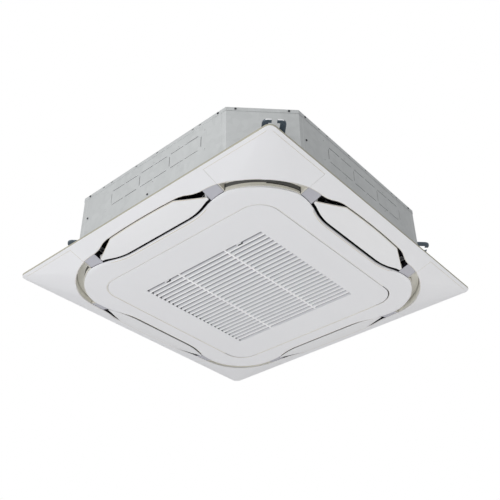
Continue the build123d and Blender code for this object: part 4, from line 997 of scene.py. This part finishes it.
# %% [markdown]
# The casing is folded zinc sheet. A fold is never sharp, its outer radius is about the sheet's
# thickness, and the punched edges show bright metal.

# %% Casing plates
SHEET_EDGE = 0.35
# two plates have round holes of many short edges, where a bevel must not overlap itself
DRILLED = ("side_plate_east", "side_plate_north")
sheets = [("side_plate_" + side, 40) for side in SIDES]
sheets += [("corner_plate_" + corner, 25) for corner in CORNERS]
for name, angle in sheets:
    sheet = welded_copy(name, "galvanised", "cut_zinc")
    round_edges(sheet, SHEET_EDGE, 1, sharp=angle, paint="cut_zinc", clamp=name in DRILLED)
    show(sheet, name, angle)
lid = welded_copy("top_plate", "galvanised")
round_edges(lid, 0.7, 3, sharp=25)
show(lid, "top_plate", 50)
print("casing plates", len(sheets) + 1)

# %% [markdown]
# The knock-outs are lids half cut out of the sheet, and the thin slots round them lie in shade:
# behind the sheet lies a dark strip, painted shade that is seen through them.


# %% Painted shade behind the knock-outs
def shade_strip(piece_name, quarter_turns):
    """A dark strip of painted shade behind the knock-outs of one side, turned to that side."""
    strip = block(piece_name, (-170, -417.3, 155), (210, -416.75, 222), "painted_slit_shade")
    round_edges(strip, 0.2, 1, lambda p: p.y < -417.2)
    turned(strip, quarter_turns)
    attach(strip, "root")
    return strip


strips = [shade_strip("knockout_slit_shade_" + side, turns) for side, turns in
          (("south", 0), ("east", 1), ("north", 2), ("west", 3))]
print("felt strips", len(strips), "of", strips[0].dimensions.x / MM, "mm")

# %% [markdown]
# The hanging brackets are thick steel, coloured a dark blue-black. A white line along each prong
# is a painted highlight, painted on the faces of its tip that look outwards.

# %% Hanging brackets
PRONG = (160.5, 166.5)
for corner in CORNERS:
    name = "hanger_" + corner
    hanger = welded_copy(name, "hanger_steel", "painted_prong_highlight")
    round_edges(hanger, 0.4, 1, sharp=40)
    # painted highlight: the outward faces at the prongs' height are white
    paint_faces(hanger, "painted_prong_highlight", lambda c, n: PRONG[0] < c.z < PRONG[1] and abs(n.z) < 0.5
                and outwards(c, n) > 0.9 * c.xy.length)
    show(hanger, name)
print("hangers", len(CORNERS))

# %% [markdown]
# The top plate's hem is folded down over the side plates, and a row of small slots is punched in
# it where the folding machine held the sheet. They are barely two millimetres high, but they break
# the long straight line of the casing's top edge. Each slot is a thin dark block on the hem, painted
# black as the shade inside the slot. One row is made and turned to the four sides.

# %% Slots in the hem
HEM_SLOTS = (-197, -161, -57, 28, 166, 192)
rows = []
for turns in range(4):
    for slot_x in HEM_SLOTS:
        nick = block("hem_slot", (slot_x - 4, -420.12, 248.0), (slot_x + 4, -419.7, 250.2),
                     "painted_black_shade")
        round_edges(nick, 0.4, 1, lambda p: abs(p.z - 249.1) < 0.1)
        turned(nick, turns)
        rows.append(nick)
hem_slots = joined("hem_slots", rows)
smooth(hem_slots)
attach(hem_slots, "root")
print("hem slots", len(rows))

# %% [markdown]
# The screws are dark pan heads with a driver recess. Each head's flat outer face is inset and
# pushed in, and its rim is rounded, so that every head takes one small glint.

# %% Casing and panel screws
HEAD_AREA = 8 * MM * MM


def recess(piece, rim, depth, test):
    """Inset the faces that pass a test, and push their middle in against their normal."""
    pick_faces(piece, test)
    bpy.ops.mesh.inset(thickness=rim * MM, depth=0, use_individual=True)
    bpy.ops.mesh.inset(thickness=0.3 * MM, depth=-depth * MM, use_individual=True)
    done()


for name, facing in (
        ("casing_screws", lambda c, n: outwards(c, n) > 0.7 * c.xy.length and abs(n.z) < 0.1),
        ("panel_screws", lambda c, n: n.z < -0.9)):
    screws = welded_copy(name)
    heads = [face.center / MM for face in screws.data.polygons
             if face.area > HEAD_AREA and facing(face.center / MM, face.normal)]
    recess(screws, 1.2, 0.9, lambda c, n: any((c - head).length < 0.01 for head in heads))
    print(name, "heads", len(heads))
    round_edges(screws, 0.4, sharp=50, clamp=True)
    show(screws, name)

# %% [markdown]
# Inside there are three materials whose pattern shows what they are. Expanded foam is thousands of
# beads pressed together, which a Voronoi texture draws: its distance is highest along the seams.
# The heat exchanger is a pack of thin fins, so its surface is a fine stripe, its dark bands painted
# shade between the fins. The filter is a woven net, two stripes that cross. The effects are groups
# again.


# %% Foam beads, fins and weave
def striped(tree, pitch, direction, squeeze=None):
    """Bands of one pitch (mm) across a direction of the object's own axes."""
    wave = tree.nodes.new("ShaderNodeTexWave")
    wave.bands_direction = direction
    per_metre = 10.0 if direction == "DIAGONAL" else 20.0
    wave.inputs["Scale"].default_value = 2 * math.pi / (per_metre * pitch * MM)
    tree.links.new(own_place(tree, squeeze), wave.inputs["Vector"])
    return wave.outputs["Fac"]


bead_group, bead_in, bead_out = new_group("foam_beads", {"Scale": 260.0}, ["Height", "Mask"])
beads = bead_group.nodes.new("ShaderNodeTexVoronoi")
feed(bead_group, beads.inputs["Vector"], own_place(bead_group))
feed(bead_group, beads.inputs["Scale"], bead_in["Scale"])
seams = beads.outputs["Distance"]
bead_group.links.new(calculated(bead_group, "SUBTRACT", 1.0, seams), bead_out["Height"])
bead_group.links.new(calculated(bead_group, "POWER", seams, 2.0), bead_out["Mask"])

fin_group, _, fin_out = new_group("fin_stripes", {}, ["Mask"])
fin_group.links.new(striped(fin_group, 2.4, "DIAGONAL", (1, 1, 0)), fin_out["Mask"])

weave_group, _, weave_out = new_group("net_weave", {}, ["Mask"])
across, along = striped(weave_group, 2.2, "X"), striped(weave_group, 2.2, "Y")
weave_group.links.new(calculated(weave_group, "MULTIPLY", across, along), weave_out["Mask"])


def patterned(name, group, deep, strength, height="Mask", **values):
    """Lay a pattern group over a finish: it mixes in a deep colour and raises the surface."""
    tree = finishes[name].node_tree
    pattern = placed(tree, group, **values)
    deepened(name, pattern["Mask"], deep)
    bump = tree.nodes["Principled BSDF"].inputs["Normal"].links[0].from_node
    bump.inputs["Strength"].default_value = strength
    tree.links.new(pattern[height], bump.inputs["Height"])


patterned("liner_foam", bead_group, (0.55, 0.55, 0.56), 0.6, "Height", Scale=240.0)
patterned("seal_foam", bead_group, (0.006, 0.006, 0.006), 0.6, "Height", Scale=700.0)
patterned("float_foam", bead_group, (0.01, 0.01, 0.012), 0.5, "Height", Scale=500.0)
# painted shade: dark bands between the fins
patterned("fin_aluminium", fin_group, (0.16, 0.165, 0.175), 0.8)
patterned("filter_net", weave_group, (0.012, 0.012, 0.014), 0.7)
print("shader groups", [g.name for g in bpy.data.node_groups])

# %% [markdown]
# The white foam pan that catches the condensate is also what carries the four air ducts. Foam
# lights up a dark gap, and on the real unit the gaps at the flaps' ends are black. So the walls of
# the ducts and the pan's underside beside them are painted dark, as painted shade.

# %% Drain pan
pan = welded_copy("drain_pan", "liner_foam", "painted_black_shade")
round_edges(pan, 1.0, 2, lambda p: p.z < 60 and reach(p) < 340, sharp=50, clamp=True)
# painted shade: the duct walls and the underside beside them are dark
paint_faces(pan, "painted_black_shade", lambda c, n: reach(c) > 352 and (abs(n.z) < 0.5 or n.z < -0.9))
show(pan, "drain_pan")
print("drain pan", len(pan.data.polygons), "faces")

# %% [markdown]
# Most pieces inside are right as they are and only need their edges broken, each by its own width.
# One helper does that: the casing's foam liner and the panel's foam seals come first. With the
# grille down one looks straight at the bell mouth, a thin black moulding, the dark blue-grey fan
# behind it with its bright nut, and the motor on its rubber feet.


# %% Liner, seals, bell mouth, fan and motor
def softened(**widths):
    """Show CAD forms with their sharp edges bevelled by a width in millimetres."""
    for name, width in widths.items():
        piece = welded_copy(name)
        round_edges(piece, width, sharp=45.0, clamp=True)
        show(piece, name)
        print(name, len(piece.data.polygons), "faces")


softened(foam_liner=1.0, seal_strips=0.8)
softened(bell_mouth=0.5, fan_wheel=0.5, fan_shaft=0.4, hub_nut=0.6, fan_motor=1.2,
         motor_isolators=1.0)

# %% [markdown]
# The control box is folded sheet with a green board in it. Its lid has a pressed field that keeps
# the thin sheet from drumming, so its face is inset and pushed in.

# %% Control box and lid
softened(control_box=0.3, circuit_board=0.2)
box_lid = welded_copy("control_lid")
pick_faces(box_lid, lambda c, n: n.z < -0.9)
bpy.ops.mesh.inset(thickness=6 * MM, depth=0)
bpy.ops.mesh.inset(thickness=1 * MM, depth=-0.7 * MM)
done()
round_edges(box_lid, 0.25, sharp=30)
show(box_lid, "control_lid", 30)
print("control lid", len(box_lid.data.polygons), "faces")

# %% [markdown]
# The filter clips to the back of the grille and swings down with it: a ribbed frame with a net on
# top. The hinge pins and the flaps' motors are small and plain. The heat exchanger runs round the
# fan: the striped fin pack, two end plates and the copper bends that join its tubes. Its two pipes
# leave through the casing's cut corner and end in brass unions.

# %% Filter, pins, motors, heat exchanger and pipes
softened(filter_frame=0.6, filter_mesh=0.15, hinge_pins=0.4, swing_motor_east=0.7,
         swing_motor_north=0.7, swing_motor_west=0.7, swing_motor_south=0.7)
softened(coil_fins=0.6, coil_end_plates=0.3, coil_tubes=0.2, gas_pipe=0.4, liquid_pipe=0.4,
         flare_unions=0.5)

# %% [markdown]
# The drain pump lifts the condensate to a grey socket with raised rings that grip the hose. Each
# ring is a bulge: three cuts round the pipe, and the points of the middle one are scaled away from
# the pipe's axis.

# %% Drain pump, socket and grommet
SOCKET_AXIS = (226, 208)
SOCKET_RINGS = (436, 443, 450, 457)
SOCKET_BORE = 13.5
RING_HALF = 1.6
RING_GROWTH = 1.07
softened(drain_pump=0.8, float_switch=0.6, float_ring=0.8, cable_grommet=0.9)
socket = welded_copy("drain_socket")
round_edges(socket, 0.8, sharp=50, clamp=True)
for ring in SOCKET_RINGS:
    for step in (-RING_HALF, 0, RING_HALF):
        cut(socket, (0, ring + step, 0), (0, 1, 0))
for ring in SOCKET_RINGS:
    middle = Vector((SOCKET_AXIS[0], ring, SOCKET_AXIS[1]))
    pick_points(socket, lambda p: abs(p.y - ring) < 0.05 and (p - middle).xz.length > SOCKET_BORE)
    bpy.ops.transform.resize(value=(RING_GROWTH, 1, RING_GROWTH),
                             center_override=[value * MM for value in middle])
    done()
show(socket, "drain_socket", 30)
print("drain socket", len(socket.data.polygons), "faces")
